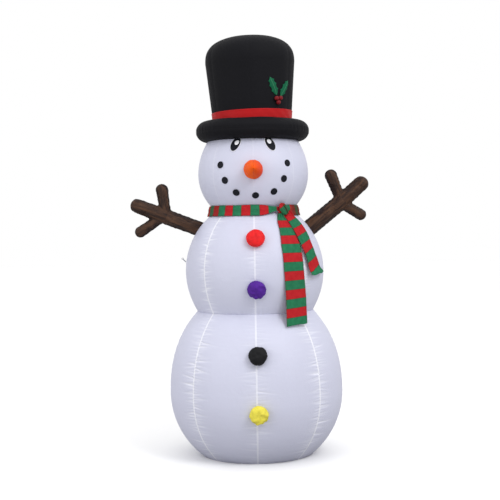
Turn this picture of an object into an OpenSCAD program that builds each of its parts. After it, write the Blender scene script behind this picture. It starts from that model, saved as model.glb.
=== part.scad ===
// Inflatable yard snowman: three nylon balls, a top hat, a scarf, stick arms,
// and the fan, lamps, ballast, zipper and tie points that make it stand.
// Azimuths are measured about +Z, from 0 at the front (-Y), positive towards +X.

/* [Snow balls] */
// Radius of the base ball
base_r = 500; // [460:5:520]
// Height of the base ball's widest ring
base_mid = 370; // [350:5:390]
// Radius of the chest ball
chest_r = 400; // [385:1:410]
// Radius of the head ball
head_r = 318; // [310:1:325]
// Height of the crease between the base and the chest
waist_z = 827; // [815:1:840]
// Height of the crease between the chest and the head
neck_z = 1400; // [1396:1:1404]
// Radius of the flat floor panel
floor_r = 318.5; // [300:0.5:330]
// Wall that stands for the thin nylon skin
wall = 2.5; // [2:0.5:3]

/* [Hat] */
// Distance from the axis to the middle of the stuffed brim
brim_r = 268; // [262:1:272]
// Radius of the stuffed brim's section
brim_tube = 59; // [56:0.5:60]
// Radius of the crown where it leaves the brim
crown_r = 225; // [222:1:230]
// How far the crown widens from its foot to its shoulder
crown_flare = 32; // [20:1:40]
// Total height of the figure
total_h = 2400; // [2380:5:2420]
// Sideways lean of the crown, in degrees
hat_lean = 1.5; // [0:0.5:2]
// Height of the hat band
band_h = 57; // [40:1:70]

/* [Face and buttons] */
// Length of the nose
nose_l = 180; // [120:5:220]
// Radius of the nose at its seam
nose_r = 52; // [45:1:56]
// Diameter of each gathered button
button_d = 103; // [90:1:110]
// Diameter of each mouth patch
mouth_d = 39; // [30:1:42]

/* [Arms] */
// Radius of the left arm at the shoulder seam
left_arm_r = 41; // [38:1:44]
// Radius of the right arm at the shoulder seam
right_arm_r = 46; // [42:1:48]
// Gap between an arm and the hole in the chest that feeds it with air
arm_gap = 7; // [6:0.5:9]

/* [Scarf] */
// Width of the scarf cloth
scarf_w = 140; // [120:2:142]
// Thickness that stands for the doubled cloth
scarf_t = 6; // [4:1:7]
// Azimuth of the long tail
long_az = 33; // [32:0.5:33]
// Azimuth of the short tail
short_az = 51.5; // [51:0.5:53]

/* [Fan] */
// Height of the fan's axis
fan_z = 240; // [235:1:245]
// Outer radius of the fan's barrel
barrel_r = 85; // [80:1:86]
// Distance from the body's axis to the fan's outer flange
fan_y = 512; // [508:1:520]
// Number of impeller blades
blades = 7; // [5:1:9]

/* [Hidden] */
$fn = 96;

floor_t = 3;
// A ball is [radius, height of its widest ring, drop below it, rise above it, roundness above it].
base_ball = [base_r, base_mid, 480, 581, 2.2];
chest_mid = 1058;
chest_ball = [chest_r, chest_mid, 418, 410, 2];
head_ball = [head_r, 1608, 289, 330, 2];
ball_steps = 16;

function roundness(ball, up) = up ? ball[4] : 2;
function ball_half(ball, up) = up ? ball[3] : ball[2];
function ball_radius(ball, z) =
    let (up = z > ball[1], n = roundness(ball, up), f = abs(z - ball[1])/ball_half(ball, up))
    ball[0]*pow(1 - pow(min(f, 1), n), 1/n);
// How far the surface at height z faces upwards, in degrees
function ball_tilt(ball, z) = atan2(ball_radius(ball, z - 1) - ball_radius(ball, z + 1), 2);
// The angle that draws height z on the ball's outline
function outline_angle(ball, z) =
    let (up = z > ball[1], n = roundness(ball, up), f = abs(z - ball[1])/ball_half(ball, up))
    (up ? 1 : -1)*asin(pow(min(f, 1), n/2));
function outline_point(ball, t) =
    let (up = t > 0, n = roundness(ball, up))
    [ball[0]*pow(cos(t), 2/n), ball[1] + (up ? 1 : -1)*ball_half(ball, up)*pow(sin(abs(t)), 2/n)];
function outline(ball, z0, z1) =
    let (t0 = outline_angle(ball, z0), t1 = outline_angle(ball, z1))
    [for (i = [0 : ball_steps]) outline_point(ball, t0 + (t1 - t0)*i/ball_steps)];
function grown(ball, d) = [ball[0] + d, ball[1], ball[2] + d, ball[3] + d, ball[4]];
function reversed(list) = [for (i = [len(list) - 1 : -1 : 0]) list[i]];

// A layer of cloth between two distances outside a ball, from height z0 to z1
module ball_layer(ball, inner, outer, z0, z1) {
    rotate_extrude()
        polygon(concat(outline(grown(ball, outer), z0, z1),
                       reversed(outline(grown(ball, inner), z0, z1))));
}

module ball_solid(ball, margin, z0, z1) {
    rotate_extrude()
        polygon(concat([[0, z0]], outline(grown(ball, margin), z0, z1), [[0, z1]]));
}

// Places children on a ball's surface, with +Z outwards and +Y up the surface
module on_ball(ball, az, z, lift = 0) {
    rotate([0, 0, az])
        translate([0, -ball_radius(ball, z), z])
            rotate([90 - ball_tilt(ball, z), 0, 0])
                translate([0, 0, lift]) children();
}

// Part of a ring between two azimuths
module arc_band(r0, r1, z0, z1, az0, az1) {
    rotate([0, 0, az0 - 90])
        rotate_extrude(angle = az1 - az0)
            translate([r0, z0]) square([r1 - r0, z1 - z0]);
}

// A stuffed disc: a flat back and a rounded face
puff_steps = 12;
module puff(r, h) {
    rotate_extrude()
        polygon([for (i = [0 : puff_steps])
            let (t = 90*i/puff_steps)
            i == 0 ? [r*0.9, 0] : i == puff_steps ? [0, h] : [r*pow(cos(t), 0.7), h*pow(sin(t), 0.8)],
            [0, 0]]);
}

// A flat oval, as a closed curve computed point by point
module oval(w, h) {
    polygon([for (a = [0 : 10 : 350]) [w/2*cos(a), h/2*sin(a)]]);
}

// ---- Snow balls ----
module floor_panel() {
    color("whitesmoke") cylinder(r = floor_r, h = floor_t);
}

fan_port_r = barrel_r + 5;
zip_az = 157.5;
zip_half = 16;
zip_z = base_mid;
zip_slit = 8;

module base_skin() {
    color("ghostwhite")
    difference() {
        ball_layer(base_ball, -wall, 0, floor_t, waist_z);
        translate([0, 350, fan_z]) rotate([-90, 0, 0]) cylinder(r = fan_port_r, h = 200);
        arc_band(base_r - 10, base_r + 10, zip_z - zip_slit/2, zip_z + zip_slit/2,
                 zip_az - zip_half + 1, zip_az + zip_half - 1);
    }
}

module chest_skin() {
    color("ghostwhite")
    difference() {
        ball_layer(chest_ball, -wall, 0, waist_z, neck_z);
        for (arm = [left_arm, right_arm])
            translate(arm[0][0]) aim(arm[0][0], arm[0][1]) translate([0, 0, -70])
                cylinder(r = arm[0][2] + arm_gap, h = 160);
    }
}

head_top = 1797;
module head_skin() {
    color("ghostwhite") ball_layer(head_ball, -wall, 0, neck_z, head_top);
}

// ---- Hat ----
brim_z = head_top + brim_tube;
crown_z = 1897;
shoulder_z = 2250;
crown_wall = 2.5;
crown_dome = total_h - shoulder_z;
crown_square = 2.6;

function crown_radius(z) = crown_r + crown_flare*(z - crown_z)/(shoulder_z - crown_z);
crown_lean_out = atan(crown_flare/(shoulder_z - crown_z));

// Leans everything above the brim with the crown
module on_hat() {
    translate([0, 0, crown_z]) rotate([0, -hat_lean, 0]) translate([0, 0, -crown_z]) children();
}

module on_crown(az, z, lift) {
    on_hat() rotate([0, 0, az])
        translate([0, -crown_radius(z), z]) rotate([90 + crown_lean_out, 0, 0])
            translate([0, 0, lift]) children();
}

module hat_brim() {
    color("#202126")
    rotate_extrude() translate([brim_r, brim_z]) difference() {
        circle(r = brim_tube);
        circle(r = brim_tube - wall);
    }
}

function crown_top(inset) = [for (i = [0 : puff_steps])
    let (t = 90*i/puff_steps, r = crown_r + crown_flare - inset)
    i == puff_steps ? [0, total_h - inset]
        : [r*pow(cos(t), 2/crown_square), shoulder_z + (crown_dome - inset)*pow(sin(t), 2/crown_square)]];

// The crown's foot reaches into the brim's hollow top and is cut to the brim's curve.
crown_foot = 14;
module hat_crown() {
    foot_z = crown_z - crown_foot;
    color("#202126") difference() {
        on_hat() rotate_extrude()
            polygon(concat([[crown_radius(foot_z), foot_z]], crown_top(0), reversed(crown_top(crown_wall)),
                           [[crown_radius(foot_z) - crown_wall, foot_z]]));
        rotate_extrude() translate([brim_r, brim_z]) circle(r = brim_tube + 0.3);
    }
}

band_z = crown_z + 10;
band_gap = 0.3;
band_t = 2;
module hat_band() {
    r0 = crown_radius(band_z) + band_gap;
    r1 = crown_radius(band_z + band_h) + band_gap;
    color("#be1e23")
    on_hat() rotate_extrude()
        polygon([[r0, band_z], [r0 + band_t, band_z],
                 [r1 + band_t, band_z + band_h], [r1, band_z + band_h]]);
}

// Half of a holly leaf's edge as [along, across] shares of its length and width
leaf_l = 106;
leaf_w = 46;
leaf_t = 3;
leaf_edge = [[0, 0.12], [0.1, 0.5], [0.2, 0.64], [0.28, 1], [0.36, 0.7], [0.5, 0.76], [0.58, 1],
             [0.66, 0.68], [0.76, 0.58], [0.82, 0.8], [0.89, 0.4], [1, 0]];
module holly_leaf() {
    linear_extrude(leaf_t)
        polygon([for (p = leaf_edge) [p[1]*leaf_w/2, p[0]*leaf_l],
                 for (p = reversed(leaf_edge)) if (p[1] > 0) [-p[1]*leaf_w/2, p[0]*leaf_l]]);
}

module holly_leaves() {
    color("#1e734b") {
        on_crown(36, 2038, 1) rotate(23) holly_leaf();
        on_crown(43, 2034, 1) rotate(-33) holly_leaf();
    }
}

berry_r = 12.4;
module holly_berries() {
    color("#8c1e28")
    for (place = [[34.4, 2018], [40.6, 2020], [37.4, 1996]])
        on_crown(place[0], place[1], berry_r + 0.3) sphere(r = berry_r);
}

// ---- Face ----
nose_z = 1621;
nose_steps = 10;
module nose() {
    color("#f55a1e")
    on_ball(head_ball, 0, nose_z, 0.5) rotate_extrude()
        polygon([[0, 0], [nose_r*0.96, 0],
                 for (i = [0 : nose_steps]) let (s = i/nose_steps)
                     i == nose_steps ? [0, nose_l] : [nose_r*pow(1 - s, 0.75), 8 + (nose_l - 8)*s]]);
}

eye_az = 20;
eye_z = 1767;
eye_w = 56;
eye_h = 98;
eye_tilt = 16;
patch_gap = 0.3;
patch_t = 2;

// Cuts a flat outline from a layer of cloth on the head
module head_patch(az, z, inner, outer) {
    intersection() {
        ball_layer(head_ball, inner, outer, neck_z + 40, head_top - 1);
        on_ball(head_ball, az, z, -25) linear_extrude(60) children();
    }
}

module eye_patches() {
    color("#26283a")
    for (side = [-1, 1])
        head_patch(side*eye_az, eye_z, patch_gap, patch_gap + patch_t)
            rotate(side*eye_tilt) oval(eye_w, eye_h);
}

module eye_highlights() {
    color("white")
    for (place = [[-18.6, 1774], [19.2, 1778]])
        head_patch(place[0], place[1], patch_gap*2 + patch_t, patch_gap*2 + patch_t*1.5)
            rotate(sign(place[0])*eye_tilt) oval(24, 31);
}

// The mouth's dots as [azimuth, height]
mouth_places = [[-35.4, 1653], [-30.2, 1566], [-19.2, 1497], [2.1, 1480],
                [22.4, 1500], [32.4, 1571], [37.1, 1658]];
module mouth_patches() {
    color("#282a3a")
    for (place = mouth_places)
        head_patch(place[0], place[1], patch_gap, patch_gap + patch_t)
            circle(d = mouth_d);
}

// ---- Buttons ----
button_t = 52;
module button(ball, z) {
    on_ball(ball, 1, z, 0.5) puff(button_d/2, button_t);
}
module button_red() { color("#f53232") button(chest_ball, 1238); }
module button_purple() { color("#552896") button(chest_ball, 969); }
module button_black() { color("#19191c") button(base_ball, 610); }
module button_yellow() { color("#f0e13c") button(base_ball, 304); }

// ---- Arms ----
// An arm is four limbs, each [start, end, radius at the start, radius at the end]:
// the branch from the shoulder to the hub, the main finger, the upper and the lower twig.
left_shoulder = [-322, 0, 1301];
left_hub = [-511, 0, 1374];
left_arm = [[left_shoulder, left_hub, left_arm_r, 42],
            [left_hub, [-672, 0, 1438], 43, 38],
            [[-509, 0, 1396], [-528, 0, 1529], 29, 33],
            [[-537, 0, 1365], [-657, 0, 1286], 27, 30]];
right_shoulder = [325, 0, 1299];
right_hub = [507, 0, 1446];
right_arm = [[right_shoulder, right_hub, right_arm_r, 45],
             [right_hub, [621, 0, 1546], 44, 41],
             [[496, 0, 1472], [448, 0, 1597], 29, 33],
             [[521, 0, 1427], [618, 0, 1367], 29, 30]];

// Turns +Z to point from a to b, where both lie in the XZ plane
module aim(a, b) {
    rotate([0, atan2(b[0] - a[0], b[2] - a[2]), 0]) children();
}

// A tapered tube with round ends, turned as one solid
end_steps = 6;
module limb(a, b, ra, rb) {
    l = norm(b - a);
    translate(a) aim(a, b) rotate_extrude()
        polygon([for (i = [0 : end_steps]) let (t = 90*i/end_steps)
                     i == 0 ? [0, -ra] : [ra*sin(t), -ra*cos(t)],
                 for (i = [0 : end_steps]) let (t = 90*i/end_steps)
                     i == end_steps ? [0, l + rb] : [rb*cos(t), l + rb*sin(t)]]);
}

module arm(limbs) {
    $fn = 48;
    for (l = limbs) limb(l[0], l[1], l[2], l[3]);
}
module arm_left() { color("#46322a") arm(left_arm); }
module arm_right() { color("#46322a") arm(right_arm); }

// ---- Scarf ----
wrap_z = 1368;
wrap_h = 62;
wrap_low_r = 262.6;
wrap_high_r = 250.6;
module scarf_wrap() {
    color("#d7282f")
    rotate_extrude()
        polygon([[wrap_low_r, wrap_z], [wrap_low_r + scarf_t, wrap_z],
                 [wrap_high_r + scarf_t, wrap_z + wrap_h], [wrap_high_r, wrap_z + wrap_h]]);
}

knot_r = 36;
knot_lift = wrap_low_r + scarf_t + 0.5;
module scarf_knot() {
    color("#1e7850")
    rotate([0, 0, 37]) translate([0, -knot_lift, wrap_z + 36]) rotate([90, 0, 0])
        puff(knot_r, 24);
}

// A tail hangs in the plane of one azimuth. It follows the chest from its top to the
// chest's widest ring, then hangs straight, and may kick out at its end.
tail_gap = 3;
tail_steps = 9;
tail_top = wrap_z - 4;
function tail_line(bottom, kick, off) = concat(
    [for (i = [0 : tail_steps])
        let (z = tail_top + (chest_mid - tail_top)*i/tail_steps)
        [ball_radius(chest_ball, z) + tail_gap + off, z]],
    [[chest_r + tail_gap + off + kick, bottom]]);

// The tail seen from outside: gathered at the knot, and full width below its gathers
tail_gather = 150;
module tail_outline(bottom, top_w, w) {
    polygon([[-top_w/2, tail_top], [top_w/2, tail_top], [w/2, tail_top - tail_gather],
             [w/2, bottom], [-w/2, bottom], [-w/2, tail_top - tail_gather]]);
}

module tail(az, bottom, kick, top_w, w) {
    rotate([0, 0, az]) intersection() {
        rotate([90, 0, -90]) linear_extrude(scarf_w + 20, center = true)
            polygon(concat(tail_line(bottom, kick, 0), reversed(tail_line(bottom, kick, scarf_t))));
        translate([0, -150, 0]) rotate([90, 0, 0]) linear_extrude(400)
            tail_outline(bottom, top_w, w);
    }
}

long_end = 759;
short_end = 1038;
module scarf_tail_long() {
    color("#238c5f") tail(long_az, long_end, 0, 78, scarf_w);
}
module scarf_tail_short() {
    color("#c8232d") tail(short_az, short_end, 22, 60, 100);
}

// ---- Tie points ----
loop_z = 1110;
loop_reach = 26;
loop_eye = 3.5;
loop_rim = 5.5;
loop_w = 22;
loop_web = 5;
loop_root = 12;
loop_places = [-90, 135];
module tether_loops() {
    color("gainsboro")
    for (az = loop_places) difference() {
        rotate([0, 0, az]) translate([0, -ball_radius(chest_ball, loop_z), loop_z])
            rotate([45, 0, 0]) difference() {
                union() {
                    translate([0, 0, loop_reach]) rotate([0, 90, 0])
                        cylinder(r = loop_rim, h = loop_w, center = true);
                    translate([-loop_w/2, -loop_web/2, -loop_root])
                        cube([loop_w, loop_web, loop_root + loop_reach - 2]);
                }
                translate([0, 0, loop_reach]) rotate([0, 90, 0])
                    cylinder(r = loop_eye, h = loop_w + 2, center = true);
            }
        ball_solid(chest_ball, 0.3, waist_z + 20, neck_z - 20);
    }
}

stake_places = [-155, -120, 120, 155];
stake_r = 372;
tab_w = 44;
tab_t = 2.4;
eyelet_r = 6;
eyelet_rim = 8.6;
washer_rim = 4;
washer_t = 0.8;

module at_stake(az) {
    rotate([0, 0, az]) translate([0, -stake_r, 0]) children();
}

module stake_tabs() {
    color("gainsboro")
    for (az = stake_places) difference() {
        at_stake(az) union() {
            cylinder(d = tab_w, h = tab_t);
            translate([-tab_w/2, 0, 0]) cube([tab_w, stake_r - floor_r + 5, tab_t]);
        }
        at_stake(az) translate([0, 0, -1]) cylinder(r = eyelet_rim + 0.1, h = tab_t + 2);
        translate([0, 0, -1]) cylinder(r = floor_r + 0.2, h = tab_t + 2);
    }
}

module stake_eyelets() {
    color("silver")
    for (az = stake_places) at_stake(az) difference() {
        union() {
            cylinder(r = eyelet_rim, h = tab_t + 0.4);
            translate([0, 0, tab_t + 0.2]) cylinder(r = eyelet_rim + washer_rim, h = washer_t);
        }
        translate([0, 0, -1]) cylinder(r = eyelet_r, h = tab_t + 4);
    }
}

// ---- Fan: every piece is drawn along +Z from the flange's inner face, then laid along +Y ----
barrel_l = 105;
barrel_wall = 3;
flange_r = barrel_r + 18;
flange_t = 6;
grille_t = 4;
grille_r = barrel_r + 4;
grille_rim = 9;
grille_hub = 22;
grille_bar = 3;
grille_gap = 10;
motor_r = 24;
motor_l = 42;
mount_z = -barrel_l + 8;
mount_t = 4;
mount_rim = 8;
mount_arm = 8;
shaft_r = 2.5;
shaft_l = 62;
hub_r = 22;
hub_l = 32;
hub_z = -42;
blade_tip = 77;
blade_chord = 42;
blade_pitch = 35;
screw_circle = barrel_r - barrel_wall/2;
screw_r = 0.9;

module on_fan() {
    translate([0, fan_y, fan_z]) rotate([-90, 0, 0]) children();
}

module ring(outer, inner, z, h) {
    translate([0, 0, z]) difference() {
        cylinder(r = outer, h = h);
        translate([0, 0, -1]) cylinder(r = inner, h = h + 2);
    }
}

module screw_places() {
    for (a = [45 : 90 : 315]) rotate(a) translate([screw_circle, 0, 0]) children();
}

module fan_sleeve() {
    color("ghostwhite") on_fan() ring(barrel_r + 3.5, barrel_r + 0.5, -76, 75.5);
}

module fan_drawstring() {
    color("dimgray") on_fan() {
        rotate_extrude() translate([barrel_r + 5.6, -8]) circle(r = 1.8);
        rotate(90) translate([barrel_r + 14.6, 0, -8]) sphere(r = 7);
    }
}

module fan_housing() {
    color("#2a2a2e") on_fan() difference() {
        union() {
            ring(barrel_r, barrel_r - barrel_wall, -barrel_l, barrel_l + flange_t);
            ring(flange_r, barrel_r - 0.5, 0, flange_t);
        }
        screw_places() translate([0, 0, flange_t - 14]) cylinder(r = screw_r + 0.1, h = 20);
    }
}

module fan_grille() {
    color("#2a2a2e") on_fan() translate([0, 0, flange_t + 0.2]) difference() {
        union() {
            ring(grille_r, grille_r - grille_rim, 0, grille_t);
            for (r = [30 : grille_gap : 70]) ring(r + 2, r, 0, grille_t);
            cylinder(r = grille_hub, h = grille_t);
            for (a = [0 : 45 : 315]) rotate(a) translate([grille_hub - 2, -grille_bar/2, 0])
                cube([62, grille_bar, grille_t]);
        }
        screw_places() translate([0, 0, -1]) cylinder(r = screw_r + 0.1, h = grille_t + 2);
    }
}

module fan_motor_mount() {
    color("#2a2a2e") on_fan() {
        ring(barrel_r - barrel_wall - 0.2, barrel_r - barrel_wall - mount_rim, mount_z, mount_t);
        translate([0, 0, mount_z]) cylinder(r = motor_r + 3, h = mount_t);
        for (a = [0 : 90 : 270]) rotate(a) translate([motor_r, -mount_arm/2, mount_z])
            cube([barrel_r - barrel_wall - motor_r - 6, mount_arm, mount_t]);
    }
}

module fan_motor() {
    color("silver") on_fan() difference() {
        translate([0, 0, mount_z + mount_t]) cylinder(r = motor_r, h = motor_l);
        translate([0, 0, mount_z + mount_t + 12]) cylinder(r = shaft_r + 0.1, h = motor_l);
    }
}

module fan_shaft() {
    color("silver") on_fan()
        translate([0, 0, mount_z + mount_t + 14]) cylinder(r = shaft_r, h = shaft_l);
}

module fan_impeller() {
    color("#1c1c20") on_fan() difference() {
        union() {
            translate([0, 0, hub_z]) cylinder(r = hub_r, h = hub_l);
            for (i = [0 : blades - 1]) rotate(360*i/blades)
                translate([hub_r - 4, 0, hub_z + hub_l/2]) rotate([blade_pitch, 0, 0])
                    translate([0, -blade_chord/2, -1]) cube([blade_tip - hub_r + 3, blade_chord, 2]);
        }
        translate([0, 0, hub_z - 1]) cylinder(r = shaft_r + 0.05, h = hub_l - 4);
    }
}

module fan_screws() {
    color("silver") on_fan() screw_places() {
        translate([0, 0, flange_t - 12]) cylinder(r = screw_r, h = 12 + grille_t + 0.4);
        translate([0, 0, flange_t + grille_t + 0.3]) cylinder(r = 2.2, h = 1.6);
    }
}

inlet_r = 6.2;
inlet_hole = 2.8;
inlet_l = 13;
inlet_turn = 60;
module power_inlet() {
    color("black") on_fan() rotate(inlet_turn) translate([flange_r - 7, 0, flange_t + 0.2]) difference() {
        cylinder(r = inlet_r, h = inlet_l);
        translate([0, 0, 2]) cylinder(r = inlet_hole, h = inlet_l);
    }
}

// ---- Lamps: hung on a strap from the crown to the floor ----
strap_w = 25;
strap_t = 1.5;
strap_top = total_h - 12;
lead_y = 6;
lead_r = 2.4;
lead_low = floor_t + 4;
lamp_heights = [430, 1070, 1610, 2080];
socket_r = 12;
socket_l = 34;
bulb_r = 19;
lamp_y = -socket_r - 8;
plug_y = fan_y - barrel_l - 12;
plug_w = 24;
plug_h = 16;

module lamp_lead_socket() {
    color("black")
    translate([-plug_w/2, plug_y - plug_w, fan_z - 60]) difference() {
        cube([plug_w, plug_w, plug_h]);
        translate([plug_w/2, -1, plug_h/2]) rotate([-90, 0, 0]) cylinder(r = lead_r + 0.2, h = 14);
    }
    color("black")
    translate([-6, plug_y, fan_z - 58]) cube([12, 19.8, 6]);
}

module lamp_strap() {
    color("white")
    translate([-strap_w/2, -strap_t/2, floor_t]) cube([strap_w, strap_t, strap_top - floor_t]);
}

// The lead's corners, from the fan's plug to the topmost lamp
lead_route = [[0, plug_y - 14, fan_z - 52], [0, plug_y - 40, fan_z - 52], [0, 250, lead_low],
              [0, lead_y, lead_low], [0, lead_y, lamp_heights[3]]];
module lamp_lead() {
    color("darkgreen")
    for (i = [1 : len(lead_route) - 1]) {
        a = lead_route[i - 1];
        b = lead_route[i];
        translate(a) rotate([-atan2(b[1] - a[1], b[2] - a[2]), 0, 0])
            cylinder(r = lead_r, h = norm(b - a));
        if (i < len(lead_route) - 1) translate(b) sphere(r = lead_r*1.2);
    }
}

module lamp_sockets() {
    color("#2c5e3a")
    for (z = lamp_heights) translate([0, 0, z]) difference() {
        union() {
            translate([0, lamp_y, -socket_l]) cylinder(r = socket_r, h = socket_l);
            translate([-strap_w/2 - 3, lamp_y + 4, -10]) cube([strap_w + 6, 28, 12]);
        }
        translate([-strap_w/2 - 0.5, -strap_t/2 - 0.3, -11])
            cube([strap_w + 1, strap_t + 0.6, 14]);
        translate([0, lead_y, -11]) cylinder(r = lead_r + 0.3, h = 14);
    }
}

module lamp_bulbs() {
    color("lemonchiffon")
    for (z = lamp_heights)
        translate([0, lamp_y, z - socket_l - bulb_r - 0.3]) difference() {
            sphere(r = bulb_r);
            sphere(r = bulb_r - 1.5);
        }
}

// ---- Ballast ----
bag_r = 105;
module ballast_bags() {
    color("tan")
    for (side = [-1, 1])
        translate([side*135, -50, floor_t + 0.3]) puff(bag_r, 52);
}

// ---- Zipper: it lets the air out, and it runs along the base's widest ring ----
tape_h = 32;
tape_r = base_r + 0.4;
tape_t = 1.2;
teeth_h = 6;
teeth_t = 2.4;
teeth_r = tape_r + tape_t;
slider_r = teeth_r + 0.4;
slider_az = zip_az + zip_half - 2.6;
slider_half = 1.1;
slider_h = 16;
pin_r = 1.2;
pull_r = slider_r + 8.6;
pull_l = 34;

module zipper_tape() {
    color("whitesmoke")
    arc_band(tape_r, tape_r + tape_t, zip_z - tape_h/2, zip_z + tape_h/2,
             zip_az - zip_half, zip_az + zip_half);
}

module zipper_teeth() {
    color("white")
    arc_band(teeth_r, teeth_r + teeth_t, zip_z - teeth_h/2, zip_z + teeth_h/2,
             zip_az - zip_half + 0.5, zip_az + zip_half - 0.5);
}

module zipper_slider() {
    color("silver") {
        // The plate over the teeth and the two rails beside them
        arc_band(slider_r + teeth_t, slider_r + teeth_t + 2, zip_z - slider_h/2, zip_z + slider_h/2,
                 slider_az - slider_half, slider_az + slider_half);
        for (side = [-1, 1]) {
            arc_band(slider_r, slider_r + teeth_t + 1, zip_z + side*6 - 2, zip_z + side*6 + 2,
                     slider_az - slider_half, slider_az + slider_half);
            // The ears that hold the pull's pin
            arc_band(slider_r + teeth_t + 1, pull_r + 2, zip_z + side*4.5 - 1, zip_z + side*4.5 + 1,
                     slider_az - 0.28, slider_az + 0.28);
        }
        rotate([0, 0, slider_az]) translate([0, -pull_r, zip_z - 5]) cylinder(r = pin_r, h = 10);
    }
}

module zipper_pull() {
    color("silver")
    rotate([0, 0, slider_az]) translate([0, -pull_r, zip_z]) difference() {
        union() {
            cylinder(r = pin_r + 1.6, h = 6.4, center = true);
            translate([-pull_l, -1, -3.2]) cube([pull_l, 2, 6.4]);
            translate([-pull_l, -1, -5.5]) cube([pull_l - 8, 2, 11]);
        }
        cylinder(r = pin_r + 0.25, h = 12, center = true);
    }
}

floor_panel();
base_skin();
chest_skin();
head_skin();
hat_brim();
hat_crown();
hat_band();
holly_leaves();
holly_berries();
nose();
eye_patches();
eye_highlights();
mouth_patches();
button_red();
button_purple();
button_black();
button_yellow();
arm_left();
arm_right();
scarf_wrap();
scarf_knot();
scarf_tail_long();
scarf_tail_short();
tether_loops();
stake_tabs();
stake_eyelets();
fan_sleeve();
fan_drawstring();
fan_housing();
fan_grille();
fan_motor_mount();
fan_motor();
fan_shaft();
fan_impeller();
fan_screws();
power_inlet();
lamp_lead_socket();
lamp_strap();
lamp_lead();
lamp_sockets();
lamp_bulbs();
ballast_bags();
zipper_tape();
zipper_teeth();
zipper_slider();
zipper_pull();
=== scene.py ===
"""Looks of the inflatable yard snowman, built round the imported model, in metres.

The file follows the figure as it is sewn: balls, hat, face, buttons, arms and scarf, then the
floor with its ballast, the blower, the lamps, the tie points and the zipper. Azimuths run
about +Z from 0 at the front (-Y), positive towards +X.
"""
import contextlib
import math
import bmesh
import bpy
import numpy as np
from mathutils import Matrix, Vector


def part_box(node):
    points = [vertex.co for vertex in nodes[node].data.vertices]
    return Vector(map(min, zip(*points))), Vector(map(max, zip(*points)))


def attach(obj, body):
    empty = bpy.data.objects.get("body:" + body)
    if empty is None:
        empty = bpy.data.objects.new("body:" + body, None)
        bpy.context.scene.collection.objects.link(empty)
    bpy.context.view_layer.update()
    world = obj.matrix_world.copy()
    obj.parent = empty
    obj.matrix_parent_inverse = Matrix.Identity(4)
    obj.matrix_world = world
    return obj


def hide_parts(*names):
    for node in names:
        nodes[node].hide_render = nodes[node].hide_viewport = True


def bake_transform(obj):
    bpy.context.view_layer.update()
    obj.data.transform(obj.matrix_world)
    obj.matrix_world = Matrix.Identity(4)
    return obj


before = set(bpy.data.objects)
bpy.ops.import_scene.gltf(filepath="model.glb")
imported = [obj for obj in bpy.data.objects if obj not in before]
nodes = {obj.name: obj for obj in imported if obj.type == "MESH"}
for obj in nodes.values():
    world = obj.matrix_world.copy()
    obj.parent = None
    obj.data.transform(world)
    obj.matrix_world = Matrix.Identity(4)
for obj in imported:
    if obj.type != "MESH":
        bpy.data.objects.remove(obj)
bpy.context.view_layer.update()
scene = bpy.context.scene


# ---- Studio ----
# A pale floor and a dome of light that is brighter overhead, one large soft lamp high on the
# right, and a weak fill on the left. The camera is level with the upper chest, a little rolled.
VIEW_DISTANCE = 6.246
VIEW_HEIGHT = 1.318
VIEW_SIDE = -0.025
VIEW_DOWN = math.radians(1.33)
VIEW_ROLL = math.radians(-0.9)
VIEW_LENS = 77.8

camera = bpy.data.objects.new("camera", bpy.data.cameras.new("camera"))
camera.data.lens = VIEW_LENS
camera.data.clip_end = 60
camera.location = (VIEW_SIDE, -VIEW_DISTANCE, VIEW_HEIGHT)
camera.rotation_mode = "ZYX"
camera.rotation_euler = (math.pi/2 - VIEW_DOWN, 0, VIEW_ROLL)
scene.collection.objects.link(camera)
scene.camera = camera
scene.view_settings.view_transform = "Standard"

DOME_SIDE = 0.70
DOME_TOP = 1.25
FLOOR_SEEN = 0.97
FLOOR_BOUNCE = 0.50
FLOOR_HALF = 30
WHITE = (1, 1, 1, 1)


def seen_or_lit(tree, seen, lit, output):
    """The camera meets the shader seen, and light that falls on the figure comes from lit."""
    path = tree.nodes.new("ShaderNodeLightPath")
    choice = tree.nodes.new("ShaderNodeMixShader")
    tree.links.new(path.outputs["Is Camera Ray"], choice.inputs[0])
    tree.links.new(lit, choice.inputs[1])
    tree.links.new(seen, choice.inputs[2])
    tree.links.new(choice.outputs[0], tree.nodes[output].inputs["Surface"])


world = bpy.data.worlds.new("studio")
world.use_nodes = True
scene.world = world
sky = world.node_tree
sweep = sky.nodes["Background"]
sweep.inputs["Color"].default_value = WHITE
sweep.inputs["Strength"].default_value = 1.0
dome = sky.nodes.new("ShaderNodeBackground")
dome.inputs["Color"].default_value = WHITE
direction = sky.nodes.new("ShaderNodeTexCoord")
upwards = sky.nodes.new("ShaderNodeSeparateXYZ")
brightness = sky.nodes.new("ShaderNodeMapRange")
brightness.inputs["To Min"].default_value = DOME_SIDE
brightness.inputs["To Max"].default_value = DOME_TOP
sky.links.new(direction.outputs["Generated"], upwards.inputs[0])
sky.links.new(upwards.outputs["Z"], brightness.inputs["Value"])
sky.links.new(brightness.outputs["Result"], dome.inputs["Strength"])
seen_or_lit(sky, sweep.outputs[0], dome.outputs[0], "World Output")


def soft_lamp(name, place, target, size, power):
    """An area lamp of that size in metres, aimed from place at target."""
    lamp = bpy.data.objects.new(name, bpy.data.lights.new(name, "AREA"))
    lamp.data.shape = "DISK"
    lamp.data.size = size
    lamp.data.energy = power
    lamp.location = place
    aim = np.array(target) - np.array(place)
    aim = aim/np.linalg.norm(aim)
    lamp.rotation_euler = (math.acos(-aim[2]), 0, math.atan2(-aim[0], aim[1]))
    scene.collection.objects.link(lamp)


soft_lamp("key", (3.2, -4.2, 5.2), (0, 0, 1.3), 2.6, 142)
soft_lamp("fill", (-4.5, -3.5, 2.0), (0, 0, 1.1), 3.0, 52)

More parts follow.
